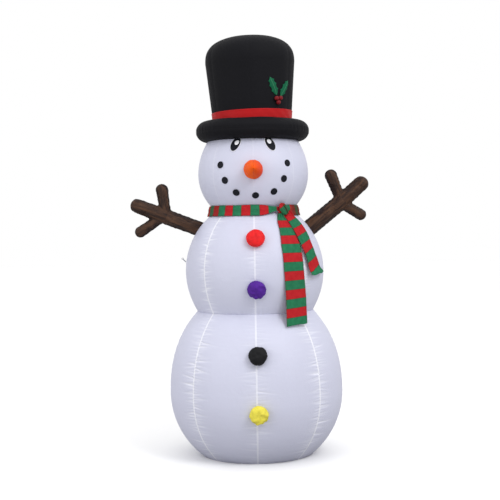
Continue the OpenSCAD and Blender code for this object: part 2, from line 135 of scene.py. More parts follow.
floor = bpy.data.objects.new("floor", bpy.data.meshes.new("floor"))
corners = ((-1, -1), (1, -1), (1, 1), (-1, 1))
floor.data.from_pydata([(x*FLOOR_HALF, y*FLOOR_HALF, 0) for x, y in corners], [], [(0, 1, 2, 3)])
floor_finish = bpy.data.materials.new("floor")
floor_finish.use_nodes = True
matt = floor_finish.node_tree.nodes["Principled BSDF"]
matt.inputs["Base Color"].default_value = (FLOOR_SEEN, FLOOR_SEEN, FLOOR_SEEN, 1)
matt.inputs["Roughness"].default_value = 0.8
bounce = floor_finish.node_tree.nodes.new("ShaderNodeBsdfDiffuse")
bounce.inputs["Color"].default_value = (FLOOR_BOUNCE, FLOOR_BOUNCE, FLOOR_BOUNCE, 1)
seen_or_lit(floor_finish.node_tree, matt.outputs[0], bounce.outputs[0], "Material Output")
floor.data.materials.append(floor_finish)
scene.collection.objects.link(floor)


# ---- Snow balls ----
# Three balls of thin white ripstop nylon, each sewn from eight gores that run from crease to
# crease. Each seam pulls the cloth in, and puckers it in short creases on both sides.
GORES = 8
HALF_GORE = math.pi/GORES
WAIST_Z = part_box("base_skin")[1][2]
NECK_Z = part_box("chest_skin")[1][2]
HEAD_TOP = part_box("head_skin")[1][2]
# A ball is (radius, height of its widest ring, drop below it, rise above it, roundness above it).
BASE_BALL = (0.500, 0.370, 0.480, 0.581, 2.2)
CHEST_BALL = (0.400, 1.058, 0.418, 0.410, 2.0)
HEAD_BALL = (0.318, 1.608, 0.289, 0.330, 2.0)
# The cloth is turned in by this much where two balls are sewn together.
SEAM_ALLOWANCE = 0.016
rng = np.random.default_rng(8)


def ball_radius(ball, z):
    """Radius at height z: a circle's law below the widest ring, a squarer one above it."""
    r, mid, drop, rise, power = ball
    n = np.where(z > mid, power, 2.0)
    share = np.clip(np.abs(z - mid)/np.where(z > mid, rise, drop), 0, 1)
    return r*(1 - share**n)**(1/n)


def ball_outline(ball, low, high, step):
    """Heights evenly spaced along the outline from low to high, and the length up to each."""
    _, mid, drop, rise, power = ball
    turn = np.linspace(-math.pi/2, math.pi/2, 4001)
    n = np.where(turn > 0, power, 2.0)
    z = mid + np.sign(turn)*np.where(turn > 0, rise, drop)*np.abs(np.sin(turn))**(2/n)
    z = np.unique(np.clip(z, low, high))
    run = np.concatenate([[0], np.cumsum(np.hypot(np.diff(z), np.diff(ball_radius(ball, z))))])
    even = np.linspace(0, run[-1], int(run[-1]/step) + 2)
    return np.interp(even, run, z), even


def seam_share(azimuth):
    """0 on a seam, 1 in the middle of a gore."""
    return 1 - np.abs((azimuth/HALF_GORE) % 2 - 1)


def gore_dip(azimuth, depth):
    """How far a seam pulls the cloth in: the square of the share left to the gore's middle."""
    return depth*(1 - seam_share(azimuth))**2


def gore_azimuths(per_half):
    """Azimuths of a whole turn, close together beside each seam and wide in mid-gore."""
    share = (np.arange(per_half)/per_half)**1.6
    out = np.unique(np.round(np.concatenate([share, [1.0], 2 - share[1:]]), 9))
    return (np.arange(GORES)[:, None]*2 + out[None, :]).ravel()*HALF_GORE


def seam_creases(run, beside, azimuth, top, height, length, spacing):
    """Short creases across every seam. Each is a bell-shaped dent along the seam that fades
    with the square of the distance beside it, and leans a little up or down. One in five is
    long and deep, and the front seam, which hangs straightest, has the shallowest."""
    dent = np.zeros(np.broadcast(run, beside).shape)
    for half in range(2*GORES):
        own = ((azimuth - half*HALF_GORE) % (2*math.pi)) < HALF_GORE
        place = rng.uniform(0, spacing)
        front = 0.45 if half in (0, 2*GORES - 1) else 1.0
        while place < top:
            strong = rng.uniform() < 0.20
            size = front*height(place)*rng.uniform(0.3, 0.8)*(2.3 if strong else 1)
            reach = length*rng.uniform(0.5, 1.2)*(1.25 if strong else 1)
            slant = rng.uniform(-0.18, 0.18)
            width = rng.uniform(0.0034, 0.0052)
            rows = np.abs(run[:, 0] - place) < reach*0.25 + 3*width
            part = beside[np.ix_(rows, own)]
            along = run[rows] - place - slant*part
            dent[np.ix_(rows, own)] += size*np.exp(-(along/width)**2 - (part/reach)**2)
            place += spacing*rng.uniform(0.6, 1.4)
    return dent


def rough_wave(azimuth, count, seed):
    """A rounded random wave of a whole turn: a sum of cosines whose numbers lie round count."""
    own = np.random.default_rng(seed)
    turns = own.integers(int(count*0.6), int(count*1.5), 9)
    shift = own.uniform(0, 2*math.pi, 9)
    return np.cos(azimuth[..., None]*turns + shift).sum(-1)/4


def whole_turn(count):
    """A row of azimuths spaced evenly round a whole turn."""
    return np.linspace(0, 2*math.pi, count + 1)[:-1][None, :]


def surface(x, y, z):
    """Grid points from three coordinates, each of which may be a row, a column or a number."""
    return np.stack(np.broadcast_arrays(x, y, z), -1)


def round_axis(radius, azimuth, height):
    """Grid points at a radius from the vertical axis, an azimuth and a height."""
    return surface(radius*np.sin(azimuth), -radius*np.cos(azimuth), height)


def grid_mesh(name, points, uv=None, wrap=False):
    """A smooth quad mesh from a grid of points, rows by columns. wrap joins the last column
    to the first. uv is a pair of grids in metres."""
    rows, cols = points.shape[:2]
    index = np.arange(rows*cols).reshape(rows, cols)
    left = index if wrap else index[:, :-1]
    right = np.roll(index, -1, axis=1) if wrap else index[:, 1:]
    quads = np.stack([left[:-1], right[:-1], right[1:], left[1:]], axis=-1).reshape(-1, 4)
    mesh = bpy.data.meshes.new(name)
    mesh.from_pydata(points.reshape(-1, 3), [], quads)
    mesh.polygons.foreach_set("use_smooth", np.ones(len(quads), bool))
    if uv is not None:
        flat = np.stack([np.broadcast_to(uv[0], (rows, cols)), np.broadcast_to(uv[1], (rows, cols))], -1)
        layer = mesh.uv_layers.new(name="cloth")
        layer.data.foreach_set("uv", flat.reshape(-1, 2)[quads.ravel()].ravel())
    piece = bpy.data.objects.new(name, mesh)
    scene.collection.objects.link(piece)
    return piece


@contextlib.contextmanager
def edited(mesh):
    """Opens a mesh for editing, and writes it back at the end."""
    work = bmesh.new()
    work.from_mesh(mesh)
    yield work
    work.to_mesh(mesh)
    work.free()


def close_up(piece, distance=1e-5):
    """Merges points that lie together, so poles and joins are closed."""
    with edited(piece.data) as work:
        bmesh.ops.remove_doubles(work, verts=work.verts, dist=distance)
        bmesh.ops.dissolve_degenerate(work, edges=work.edges, dist=1e-7)


def mesh_points(piece):
    """The points of a piece's mesh, one to a row."""
    place = np.empty(len(piece.data.vertices)*3)
    piece.data.vertices.foreach_get("co", place)
    return place.reshape(-1, 3)


def new_finish(name, colour, roughness, **sockets):
    """A Principled material, with any further sockets set by name."""
    finish = bpy.data.materials.new(name)
    finish.use_nodes = True
    shader = finish.node_tree.nodes["Principled BSDF"]
    shader.inputs["Base Color"].default_value = (*colour, 1)
    shader.inputs["Roughness"].default_value = roughness
    for socket, value in sockets.items():
        shader.inputs[socket.replace("_", " ")].default_value = value
    return finish


def add_node(finish, kind, inputs=(), **settings):
    """A node with its settings, and its inputs given as (socket, value or output socket)."""
    node = finish.node_tree.nodes.new("ShaderNode" + kind)
    for key, value in settings.items():
        setattr(node, key, value)
    for socket, value in inputs:
        if isinstance(value, bpy.types.NodeSocket):
            finish.node_tree.links.new(value, node.inputs[socket])
        else:
            node.inputs[socket].default_value = value
    return node


def sum_of(finish, *outputs):
    """The sum of several outputs."""
    total = outputs[0]
    for output in outputs[1:]:
        total = add_node(finish, "Math", [(0, total), (1, output)], operation="ADD").outputs[0]
    return total


def set_bump(finish, height, distance, strength=1.0):
    """Puts a height in metres times distance on the material's normal."""
    bump = add_node(finish, "Bump", [("Height", height), ("Distance", distance), ("Strength", strength)])
    shader = finish.node_tree.nodes["Principled BSDF"]
    finish.node_tree.links.new(bump.outputs["Normal"], shader.inputs["Normal"])


def set_colour(finish, output):
    """Makes an output the material's colour."""
    shader = finish.node_tree.nodes["Principled BSDF"]
    finish.node_tree.links.new(output, shader.inputs["Base Color"])


def scaled(finish, output, factor):
    """An output times a number or another output."""
    return add_node(finish, "Math", [(0, output), (1, factor)], operation="MULTIPLY").outputs[0]


def mixed(finish, share, first, second):
    """A colour mix; each colour is a triple or an output."""
    node = finish.node_tree.nodes.new("ShaderNodeMix")
    node.data_type = "RGBA"
    links = finish.node_tree.links
    links.new(share, node.inputs[0])
    for socket, value in ((6, first), (7, second)):
        if isinstance(value, bpy.types.NodeSocket):
            links.new(value, node.inputs[socket])
        else:
            node.inputs[socket].default_value = (*value, 1)
    return node.outputs[2]


def toned(finish, share, low, colour):
    """The colour, darkened to low times itself where share is 0."""
    return mixed(finish, share, tuple(low*c for c in colour), colour)


def place_on(finish, coords):
    """The shaded point in UV or Object coordinates."""
    return add_node(finish, "TexCoord").outputs[coords]


def axis_of(finish, spot, axis):
    """One coordinate of spot, numbered from 0."""
    return add_node(finish, "SeparateXYZ", [(0, spot)]).outputs[axis]


def noise(finish, spot, scale, detail):
    """Soft noise with scale blotches to the metre, and detail finer layers on top."""
    return add_node(finish, "TexNoise",
                    [("Vector", spot), ("Scale", scale), ("Detail", detail)]).outputs["Fac"]


# A wave texture of scale 1 repeats in this many metres.
WAVE_LENGTH = 0.314


def threads(finish, spot, spacing, direction, distortion=0.0):
    """Parallel waves, one for each spacing in metres."""
    return add_node(finish, "TexWave", [("Vector", spot), ("Scale", WAVE_LENGTH/spacing),
                                        ("Distortion", distortion)],
                    bands_direction=direction).outputs["Fac"]


def band_mask(finish, value, low, high, soft):
    """1 while value lies between low and high, with soft edges."""
    rise = add_node(finish, "MapRange", [("Value", value), ("From Min", low - soft), ("From Max", low)])
    fall = add_node(finish, "MapRange", [("Value", value), ("From Min", high), ("From Max", high + soft),
                                         ("To Min", 1.0), ("To Max", 0.0)])
    return scaled(finish, rise.outputs[0], fall.outputs[0])


def nylon(name, colour, roughness, coords="UV", ripstop=0.005, shade=0.94, **sockets):
    """Ripstop nylon: threads as two crossing waves, thicker threads every few millimetres,
    a slow change of tone, and small soft crumples."""
    finish = new_finish(name, colour, roughness, **sockets)
    spot = place_on(finish, coords)
    slow = noise(finish, spot, 5.0, 3.0)
    tone = toned(finish, slow, shade, colour)
    set_colour(finish, tone)
    heights = []
    for axis in ("X", "Y"):
        thick = threads(finish, spot, ripstop, axis)
        narrow = add_node(finish, "Math", [(0, thick), (1, 12.0)], operation="POWER").outputs[0]
        fine = threads(finish, spot, 0.0012, axis)
        heights += [scaled(finish, narrow, 0.25), scaled(finish, fine, 0.08)]
    heights.append(scaled(finish, noise(finish, spot, 28.0, 3.0), 2.2))
    set_bump(finish, sum_of(finish, *heights), 0.0006)
    return finish, spot, tone


def snow_nylon():
    """White nylon, paler where two layers lie together at a seam, with a painted highlight where
    light would catch the puckers, and a row of stitches beside each seam."""
    finish, spot, tone = nylon("snow_nylon", (0.615, 0.625, 0.765), 0.46, shade=0.965)
    beside = axis_of(finish, spot, 0)
    strip = band_mask(finish, beside, -0.001, 0.0040, 0.0025)
    dash = threads(finish, spot, 0.0045, "Y")
    row = band_mask(finish, beside, 0.0062, 0.0070, 0.0008)
    stitch = scaled(finish, row, dash)
    # Painted highlight: a point attribute, strongest in the deepest pucker dents, mixes the colour
    # towards a pale blue-white.
    pucker_highlight = add_node(finish, "Attribute", attribute_name="pucker_highlight")
    shown = add_node(finish, "Attribute", attribute_name="seam_shows")
    pucker_highlighted = mixed(finish, pucker_highlight.outputs["Fac"], tone, (0.86, 0.87, 0.95))
    strip = scaled(finish, strip, shown.outputs["Fac"])
    pale = mixed(finish, strip, pucker_highlighted, (0.86, 0.865, 0.94))
    set_colour(finish, mixed(finish, scaled(finish, stitch, 0.35), pale, (0.50, 0.51, 0.62)))
    return finish


SNOW = snow_nylon()


def point_values(piece, name, values):
    """Stores one number, or one vector, per point of the piece."""
    kind = "FLOAT_VECTOR" if values.ndim == 2 else "FLOAT"
    layer = piece.data.attributes.new(name, kind, "POINT")
    layer.data.foreach_set("vector" if values.ndim == 2 else "value",
                           np.ascontiguousarray(values, dtype=np.float32).ravel())


def bump_step(value, low, high):
    """0 below low, 1 above high, and a smooth cubic step between."""
    share = np.clip((value - low)/(high - low), 0, 1)
    return share*share*(3 - 2*share)


def sew(piece, finish, node=None):
    """Gives a piece its finish and rides it on the figure. node is the CAD node that it stands
    for, which is hidden."""
    piece.data.materials.append(finish)
    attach(piece, "figure")
    if node:
        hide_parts(node)


def snow_ball(node, ball, low, high, dip, crease, reach, shows, seed, flat=None):
    """One gored ball: the outline carried round the axis, dipped to the seams, creased beside
    them as far as reach, and gathered in fine upright folds at both of its ends. shows is how
    pale the seams look and how strong the painted highlight on the puckers is. flat gives, for
    azimuth and height, where the cloth lies smooth because something is sewn on it."""
    z, run = ball_outline(ball, low, high, 0.0035)
    azimuth = gore_azimuths(22)
    radius = ball_radius(ball, z)[:, None]
    beside = seam_share(azimuth)[None, :]*HALF_GORE*radius
    length = run[-1]
    ends = np.minimum(run, length - run)[:, None]
    smooth = 1 - flat(azimuth[None, :], z[:, None]) if flat else 1

    def crease_height(place):
        """Full in mid-outline, and a little under half of that at its ends."""
        return crease*(0.45 + 0.55*math.sin(math.pi*min(max(place/length, 0), 1)))

    dent = seam_creases(run[:, None], beside, azimuth, length, crease_height, reach, 0.0135)*smooth
    folds = 0.0016*rough_wave(azimuth, 70, seed)[None, :]*np.exp(-ends/0.030)
    slow = 0.0014*rough_wave(azimuth[None, :] + 0.5*run[:, None]/length, 7, seed + 1)
    out = radius - gore_dip(azimuth, dip)[None, :]*smooth*np.clip(ends/0.08, 0, 1)**0.5 - dent + folds
    out = out + slow*smooth*np.clip(ends/0.10, 0, 1) + 0.0008*np.exp(-(beside/0.005)**2)
    turned = (int(low > 0.01), 1)
    out, dent, beside = (np.pad(part, (turned, (0, 0)), "edge") for part in (out, dent, beside))
    z, run = np.pad(z, turned, "edge"), np.pad(run, turned, "edge")
    out[-1] -= SEAM_ALLOWANCE
    if turned[0]:
        out[0] -= SEAM_ALLOWANCE
    skin = grid_mesh(node + "_cloth", round_axis(out, azimuth, z[:, None]), uv=(beside, run[:, None]),
                     wrap=True)
    # The painted highlight on the puckers, stronger where the dent is deeper.
    point_values(skin, "pucker_highlight", (shows*np.clip(dent/crease/1.1, 0, 1)).ravel())
    front = 1 - 0.35*np.exp(-(np.sin(azimuth/2)/0.15)**2)
    point_values(skin, "seam_shows", np.broadcast_to(shows*front, out.shape).ravel())
    sew(skin, SNOW, node)
    return skin


# The zipper lies on the base at this azimuth and height. The fan's port is at the back, in
# the part of the base beyond PORT_SIDE.
ZIP_AZIMUTH = math.radians(157.5)
ZIP_HALF = math.radians(16)
ZIP_Z = 0.370
FAN_Z = 0.240
PORT_R = 0.0885
PORT_SIDE = 0.3
# Points this close inside the port's edge are drawn out to it.
PORT_EDGE = 0.011


def near_zip(azimuth, z):
    """1 under the zipper, fading out around it."""
    across = np.abs((azimuth - ZIP_AZIMUTH + math.pi) % (2*math.pi) - math.pi)
    above = np.abs(z - ZIP_Z)
    return (1 - bump_step(across, ZIP_HALF, ZIP_HALF + 0.07))*(1 - bump_step(above, 0.02, 0.045))


def open_port(skin, radius):
    """Cuts a round hole about the fan's line: points just inside it are drawn out to its
    edge, faces that reach further in are taken away, and the cloth round it is gathered."""
    place = mesh_points(skin)
    x, z = place[:, 0], place[:, 2] - FAN_Z
    away, turn = np.hypot(x, z), np.arctan2(x, z)
    back = place[:, 1] > PORT_SIDE
    edge = back & (away > radius - PORT_EDGE) & (away < radius)
    place[edge, 0] *= radius/away[edge]
    place[edge, 2] = FAN_Z + z[edge]*radius/away[edge]
    gathered = back & (away < radius + 0.08)
    place[gathered, 1] += 0.0016*rough_wave(turn[gathered], 34, 19)*np.exp(
        -np.maximum(away[gathered] - radius, 0)/0.018)
    skin.data.vertices.foreach_set("co", place.ravel())
    inside = back & (away < radius - PORT_EDGE)
    with edited(skin.data) as work:
        work.verts.ensure_lookup_table()
        bmesh.ops.delete(work, geom=[work.verts[i] for i in np.flatnonzero(inside)], context="VERTS")


SEAM_DIP = {"base": 0.0075, "chest": 0.006, "head": 0.0030}
base_cloth = snow_ball("base_skin", BASE_BALL, 0.001, WAIST_Z, dip=SEAM_DIP["base"], crease=0.0034,
                       reach=0.058, shows=0.85, seed=11, flat=near_zip)
open_port(base_cloth, PORT_R)
snow_ball("chest_skin", CHEST_BALL, WAIST_Z, NECK_Z, dip=SEAM_DIP["chest"], crease=0.0024,
          reach=0.040, shows=0.80, seed=12)
snow_ball("head_skin", HEAD_BALL, NECK_Z, HEAD_TOP, dip=SEAM_DIP["head"], crease=0.0004,
          reach=0.020, shows=0.10, seed=13)


# ---- Hat brim ----
# A tube of black nylon stuffed with air. Its outer seam gathers the cloth in short creases.
BRIM_LOW, BRIM_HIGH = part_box("hat_brim")
BRIM_TUBE = (BRIM_HIGH[2] - BRIM_LOW[2])/2
BRIM_RING = BRIM_HIGH[0] - BRIM_TUBE
BRIM_Z = (BRIM_HIGH[2] + BRIM_LOW[2])/2
BLACK = nylon("hat_nylon", (0.0080, 0.0080, 0.0105), 0.66, shade=0.70, Specular_IOR_Level=0.10)[0]

turn = whole_turn(480)
section = np.linspace(-math.pi, math.pi, 121)[:, None]
gather = np.exp(-(section/0.34)**2)*0.0009*rough_wave(turn, 62, 21)
inner = np.exp(-((np.abs(section) - 2.5)/0.5)**2)*0.0010*rough_wave(turn, 44, 22)
lumps = 0.0016*rough_wave(turn + 0.4*np.sin(section), 7, 23)
seam = 0.0022*np.exp(-(section/0.03)**2) - 0.0026*np.exp(-(section/0.16)**2)
tube = BRIM_TUBE - 0.0012 + gather + inner + lumps + seam
ring = BRIM_RING + tube*np.cos(section)
brim = grid_mesh("brim_tube", round_axis(ring, turn, BRIM_Z + tube*np.sin(section)), wrap=True,
                 uv=(turn*BRIM_RING, section*BRIM_TUBE))
close_up(brim)
sew(brim, BLACK, "hat_brim")


# ---- Hat crown ----
# Black nylon panels that widen upwards to a rounded top. The crown leans a little to -X.
CROWN_FOOT_Z = 1.897
SHOULDER_Z = 2.250
CROWN_TOP_Z = 2.400
CROWN_FOOT_R = 0.225
CROWN_FLARE = 0.032
CROWN_LEAN = math.radians(-1.5)
CROWN_PANELS = 6


def crown_radius(z):
    """The wall's radius: a straight flare from the foot to the shoulder."""
    return CROWN_FOOT_R + CROWN_FLARE*(z - CROWN_FOOT_Z)/(SHOULDER_Z - CROWN_FOOT_Z)


def lean(points):
    """Turns points about the line along Y through the crown's foot."""
    x, z = points[..., 0], points[..., 2] - CROWN_FOOT_Z
    c, s = math.cos(CROWN_LEAN), math.sin(CROWN_LEAN)
    return np.stack([c*x + s*z, points[..., 1], c*z - s*x + CROWN_FOOT_Z], -1)


wall_z = np.linspace(CROWN_FOOT_Z - 0.012, SHOULDER_Z, 60)
dome_turn = np.linspace(0, math.pi/2, 50)[1:]
dome_r = (CROWN_FOOT_R + CROWN_FLARE)*np.cos(dome_turn)**(2/2.6)
dome_z = SHOULDER_Z + (CROWN_TOP_Z - SHOULDER_Z)*np.sin(dome_turn)**(2/2.6)
crown_r = np.concatenate([crown_radius(wall_z), dome_r])[:, None]
crown_z = np.concatenate([wall_z, dome_z])[:, None]
crown_run = np.concatenate([[0], np.cumsum(np.hypot(np.diff(crown_r[:, 0]), np.diff(crown_z[:, 0])))])
turn = whole_turn(360)
panel = np.abs((turn*CROWN_PANELS/math.pi) % 2 - 1)
hold = np.clip(crown_r/CROWN_FOOT_R, 0, 1)
crown_r = crown_r - 0.0030*panel**6*hold + 0.0012*rough_wave(turn + crown_z, 5, 31)*hold
crown_r = crown_r + 0.0010*rough_wave(turn, 38, 32)*np.exp(-(crown_run[:, None]/0.05)**2)*hold
crown_points = lean(round_axis(crown_r, turn, crown_z))
crown_foot = lean(np.array([0, 0, crown_z[0, 0]]))
crown_points = np.concatenate([np.broadcast_to(crown_foot, crown_points[:1].shape), crown_points])
crown_run = np.concatenate([[-CROWN_FOOT_R], crown_run])
crown = grid_mesh("crown_cloth", crown_points, wrap=True,
                  uv=(turn*CROWN_FOOT_R, crown_run[:, None]))
close_up(crown)
sew(crown, BLACK, "hat_crown")


# ---- Hat band ----
# A strip of red nylon satin round the foot of the crown, with a turned hem on both edges.
BAND_LOW = CROWN_FOOT_Z + 0.010
BAND_H = 0.057

turn = whole_turn(360)
around = np.linspace(0, 1, 25)
outside = np.array([0.0006, 0.0030, 0.0024] + [0.0020]*19 + [0.0024, 0.0030, 0.0006])
band_z = (BAND_LOW + BAND_H*around)[:, None]
band_out = outside[:, None] + 0.0005*rough_wave(turn + 6*band_z, 16, 41)
band_r = crown_radius(band_z) + band_out
band = grid_mesh("band_ribbon", lean(round_axis(band_r, turn, band_z)), wrap=True,
                 uv=(turn*CROWN_FOOT_R, band_z))
RED = nylon("band_nylon", (0.52, 0.009, 0.012), 0.50, shade=0.88, Specular_IOR_Level=0.15)[0]
sew(band, RED, "hat_band")


# ---- Holly ----
# Two leaves of green felt with a raised middle vein, and three gathered red berries, all
# stitched to the crown above the band.
LEAF_LENGTH = 0.106
LEAF_HALF = 0.023
# The leaf's edge: shares of its length, and the half width there
LEAF_ALONG = [0, 0.1, 0.2, 0.28, 0.36, 0.5, 0.58, 0.66, 0.76, 0.82, 0.89, 1]
LEAF_ACROSS = [0.12, 0.5, 0.64, 1, 0.7, 0.76, 1, 0.68, 0.58, 0.8, 0.4, 0]


def on_crown(x, y, lift, azimuth, z):
    """A flat piece bent round the crown: x runs round it, y up it, and lift is outwards."""
    height = z + y
    radius = crown_radius(height) + lift
    a = azimuth + x/CROWN_FOOT_R
    return lean(round_axis(radius, a, height))


def felt(name, colour, vein):
    """Felt: a mat of fine fibres in blotches of tone, paler along its vein."""
    finish = new_finish(name, colour, 0.88, Specular_IOR_Level=0.10)
    spot = place_on(finish, "UV")
    middle = band_mask(finish, axis_of(finish, spot, 0), -0.0012, 0.0012, 0.0012)
    fibre = noise(finish, spot, 900.0, 4.0)
    blotch = noise(finish, spot, 70.0, 2.0)
    ground = toned(finish, blotch, 0.75, colour)
    set_colour(finish, mixed(finish, scaled(finish, middle, 0.5), ground, vein))
    set_bump(finish, fibre, 0.0005)
    return finish


LEAF_FELT = felt("leaf_felt", (0.010, 0.128, 0.060), (0.080, 0.27, 0.15))
along = np.linspace(0, 1, 60)[:, None]
across = np.linspace(-1, 1, 25)[None, :]
for leaf_azimuth, leaf_z, tilt in ((36, 2.038, 23), (43, 2.034, -33)):
    x = across*LEAF_HALF*np.interp(along[:, 0], LEAF_ALONG, LEAF_ACROSS)[:, None]
    y = along*LEAF_LENGTH
    rise = 0.0030 + 0.0060*np.sin(math.pi*along)*(1 - across**2) - 0.0020*np.exp(-(across/0.12)**2)
    t = math.radians(tilt)
    leaf = grid_mesh("holly_leaf_%d" % leaf_azimuth,
                     on_crown(x*math.cos(t) - y*math.sin(t), x*math.sin(t) + y*math.cos(t), rise,
                              math.radians(leaf_azimuth), leaf_z), uv=(x, y))
    thick = leaf.modifiers.new("felt", "SOLIDIFY")
    thick.thickness = 0.0016
    thick.offset = -1
    sew(leaf, LEAF_FELT)
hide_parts("holly_leaves")

BERRY_R = 0.0124
BERRY_NYLON = nylon("berry_nylon", (0.24, 0.008, 0.014), 0.45, coords="Object", shade=0.6,
                    Specular_IOR_Level=0.2)[0]
polar = np.linspace(0, math.pi, 33)[:, None]
turn = whole_turn(48)
for number, (berry_azimuth, berry_z) in enumerate(((34.4, 2.018), (40.6, 2.020), (37.4, 1.996))):
    ball = BERRY_R*(1 - 0.10*np.exp(-(polar/0.35)**2)
                    + 0.035*np.exp(-(polar/0.8)**2)*np.sin(polar)*np.cos(9*turn + number))
    x = ball*np.sin(polar)*np.cos(turn)
    y = ball*np.sin(polar)*np.sin(turn)
    berry = grid_mesh("holly_berry_%d" % number,
                      on_crown(x, y, BERRY_R + 0.0003 + ball*np.cos(polar),
                               math.radians(berry_azimuth), berry_z)[::-1], wrap=True)
    close_up(berry)
    sew(berry, BERRY_NYLON)
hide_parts("holly_berries")


# ---- Nose ----
# A two-panel cone of orange nylon, stuffed with fibre. Its seams run up the top and the
# bottom to the tip, and its foot is gathered where it is sewn to the face.
NOSE_Z = 1.621
NOSE_LOW, NOSE_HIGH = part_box("nose")
NOSE_LENGTH = NOSE_HIGH[1] - NOSE_LOW[1]
NOSE_R = (NOSE_HIGH[0] - NOSE_LOW[0])/2

out = (np.linspace(0, 1, 90)**0.8)[:, None]
turn = whole_turn(192)
girth = 1.06*NOSE_R*(1 - out)**0.72*(1 - 0.30*np.exp(-(out/0.018)**2))
pulled = 1 - 0.022*np.exp(-(np.sin(turn)/0.13)**2)*(1 - out)**0.5
gathers = 1 + 0.014*rough_wave(turn, 9, 51)*np.exp(-(out/0.16)**2)
girth = girth*pulled*gathers*(1 + 0.02*rough_wave(turn + 3*out, 3, 52))
nose_y = NOSE_HIGH[1] - NOSE_LENGTH*out + 0.004*(1 - out)
nose_points = surface(girth*np.sin(turn), nose_y, NOSE_Z + girth*np.cos(turn))
nose_foot = np.broadcast_to(np.array([0, nose_y[0, 0], NOSE_Z]), nose_points[:1].shape)
nose = grid_mesh("nose_cone", np.concatenate([nose_foot, nose_points])[::-1], wrap=True)
close_up(nose)
orange = nylon("nose_nylon", (0.80, 0.150, 0.012), 0.55, coords="Object", shade=0.80,
               Specular_IOR_Level=0.05)[0]
nose_spot = place_on(orange, "Object")
nose_x = axis_of(orange, nose_spot, 0)
# Painted shade: from the middle of the cone to its right side the colour darkens towards a deeper orange.
nose_right_shade = add_node(orange, "MapRange", [("Value", nose_x), ("From Min", -0.004),
                                          ("From Max", 0.040)])
nose_blotch = noise(orange, nose_spot, 42.0, 3.0)
nose_light = mixed(orange, nose_blotch, (0.84, 0.078, 0.004), (0.95, 0.150, 0.007))
nose_shaded_right = mixed(orange, nose_right_shade.outputs[0], nose_light, (0.76, 0.056, 0.005))
# Painted shade in the crease where the seams pull the cloth in, along the middle of the cone.
nose_seam_shade = band_mask(orange, nose_x, -0.0008, 0.0008, 0.0040)
set_colour(orange, mixed(orange, scaled(orange, nose_seam_shade, 0.30), nose_shaded_right, (0.55, 0.045, 0.005)))
sew(nose, orange, "nose")


# ---- Eyes and mouth ----
# Patches of near-black nylon, heat-bonded to the face. Each eye has a pale rim and a white
# highlight, and its top runs up under the brim.
HEAD_Z, HEAD_RUN = ball_outline(HEAD_BALL, NECK_Z, HEAD_TOP, 0.002)
EYE_AZIMUTH = math.radians(20)
EYE_Z = 1.767
EYE_SIZE = (0.056, 0.098)
EYE_TILT = math.radians(16)
MOUTH_SIZE = (0.039, 0.039)
# The mouth's seven dots: azimuth in degrees, height
MOUTH = [(-35.4, 1.653), (-30.2, 1.566), (-19.2, 1.497), (2.1, 1.480), (22.4, 1.500),
         (32.4, 1.571), (37.1, 1.658)]


def face_patch(name, azimuth, z, size, tilt, lift, finish):
    """An oval laid on the head: rings from its middle to its edge, one turned down to the
    skin, and a back just inside it. Heights follow the head's outline, azimuths its girth."""
    ring = np.concatenate([np.linspace(0, 1, 14), [1.012, 0]])[:, None]
    drop = np.concatenate([np.full(13, lift), [lift*0.6, -0.0012, -0.0012]])[:, None]
    turn = whole_turn(72)
    x, y = ring*size[0]/2*np.cos(turn), ring*size[1]/2*np.sin(turn)
    across, up = x*math.cos(tilt) - y*math.sin(tilt), x*math.sin(tilt) + y*math.cos(tilt)
    run = np.clip(np.interp(z, HEAD_Z, HEAD_RUN) + up, 0, HEAD_RUN[-1] - 0.001)
    height = np.interp(run, HEAD_RUN, HEAD_Z)
    a = azimuth + across/ball_radius(HEAD_BALL, height)
    radius = ball_radius(HEAD_BALL, height) - gore_dip(a, SEAM_DIP["head"]) + drop + 0.0016
    points = round_axis(radius, a, height)
    patch = grid_mesh(name, points[::-1], uv=(np.broadcast_to(x, points.shape[:2])[::-1],
                                              np.broadcast_to(y, points.shape[:2])[::-1]), wrap=True)
    close_up(patch)
    sew(patch, finish)
    return patch


EYE_NYLON, eye_spot, eye_tone = nylon("eye_patch", (0.0095, 0.0105, 0.0165), 0.55, shade=0.6,
                                     Specular_IOR_Level=0.12)
eye_shape = add_node(EYE_NYLON, "Mapping", [("Vector", eye_spot),
                                            ("Scale", (2/EYE_SIZE[0], 2/EYE_SIZE[1], 1))])
eye_reach = add_node(EYE_NYLON, "VectorMath", [(0, eye_shape.outputs[0])], operation="LENGTH")
eye_rim = band_mask(EYE_NYLON, eye_reach.outputs["Value"], 0.93, 1.2, 0.02)
set_colour(EYE_NYLON, mixed(EYE_NYLON, eye_rim, eye_tone, (0.80, 0.81, 0.88)))
DOT_NYLON = nylon("mouth_patch", (0.0115, 0.0125, 0.0190), 0.55, shade=0.6,
                  Specular_IOR_Level=0.12)[0]
WHITE_PRINT = nylon("highlight_patch", (0.88, 0.88, 0.92), 0.5)[0]

eyes = [face_patch("eye_%s" % side, sign*EYE_AZIMUTH, EYE_Z, EYE_SIZE, sign*EYE_TILT, 0.0012, EYE_NYLON)
        for side, sign in (("left", -1), ("right", 1))]
shines = [face_patch("eye_shine_%s" % side, math.radians(a), z, (0.024, 0.031), sign*EYE_TILT,
                     0.0022, WHITE_PRINT)
          for side, a, z, sign in (("left", -18.6, 1.774, -1), ("right", 19.2, 1.778, 1))]
dots = [face_patch("mouth_dot_%d" % n, math.radians(a), z, MOUTH_SIZE, 0, 0.0012, DOT_NYLON)
        for n, (a, z) in enumerate(MOUTH)]
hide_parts("eye_patches")
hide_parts("eye_highlights")
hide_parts("mouth_patches")


# ---- Buttons ----
# Four rounds of nylon, each drawn up behind by a gathering thread and stuffed, then sewn on
# the front seam. The gathers show as folds round the rim.
def ball_normal(ball, z):
    """Outwards and upwards parts of the surface's normal at height z."""
    slope = (ball_radius(ball, z - 0.001) - ball_radius(ball, z + 0.001))/0.002
    return 1/math.hypot(1, slope), slope/math.hypot(1, slope)


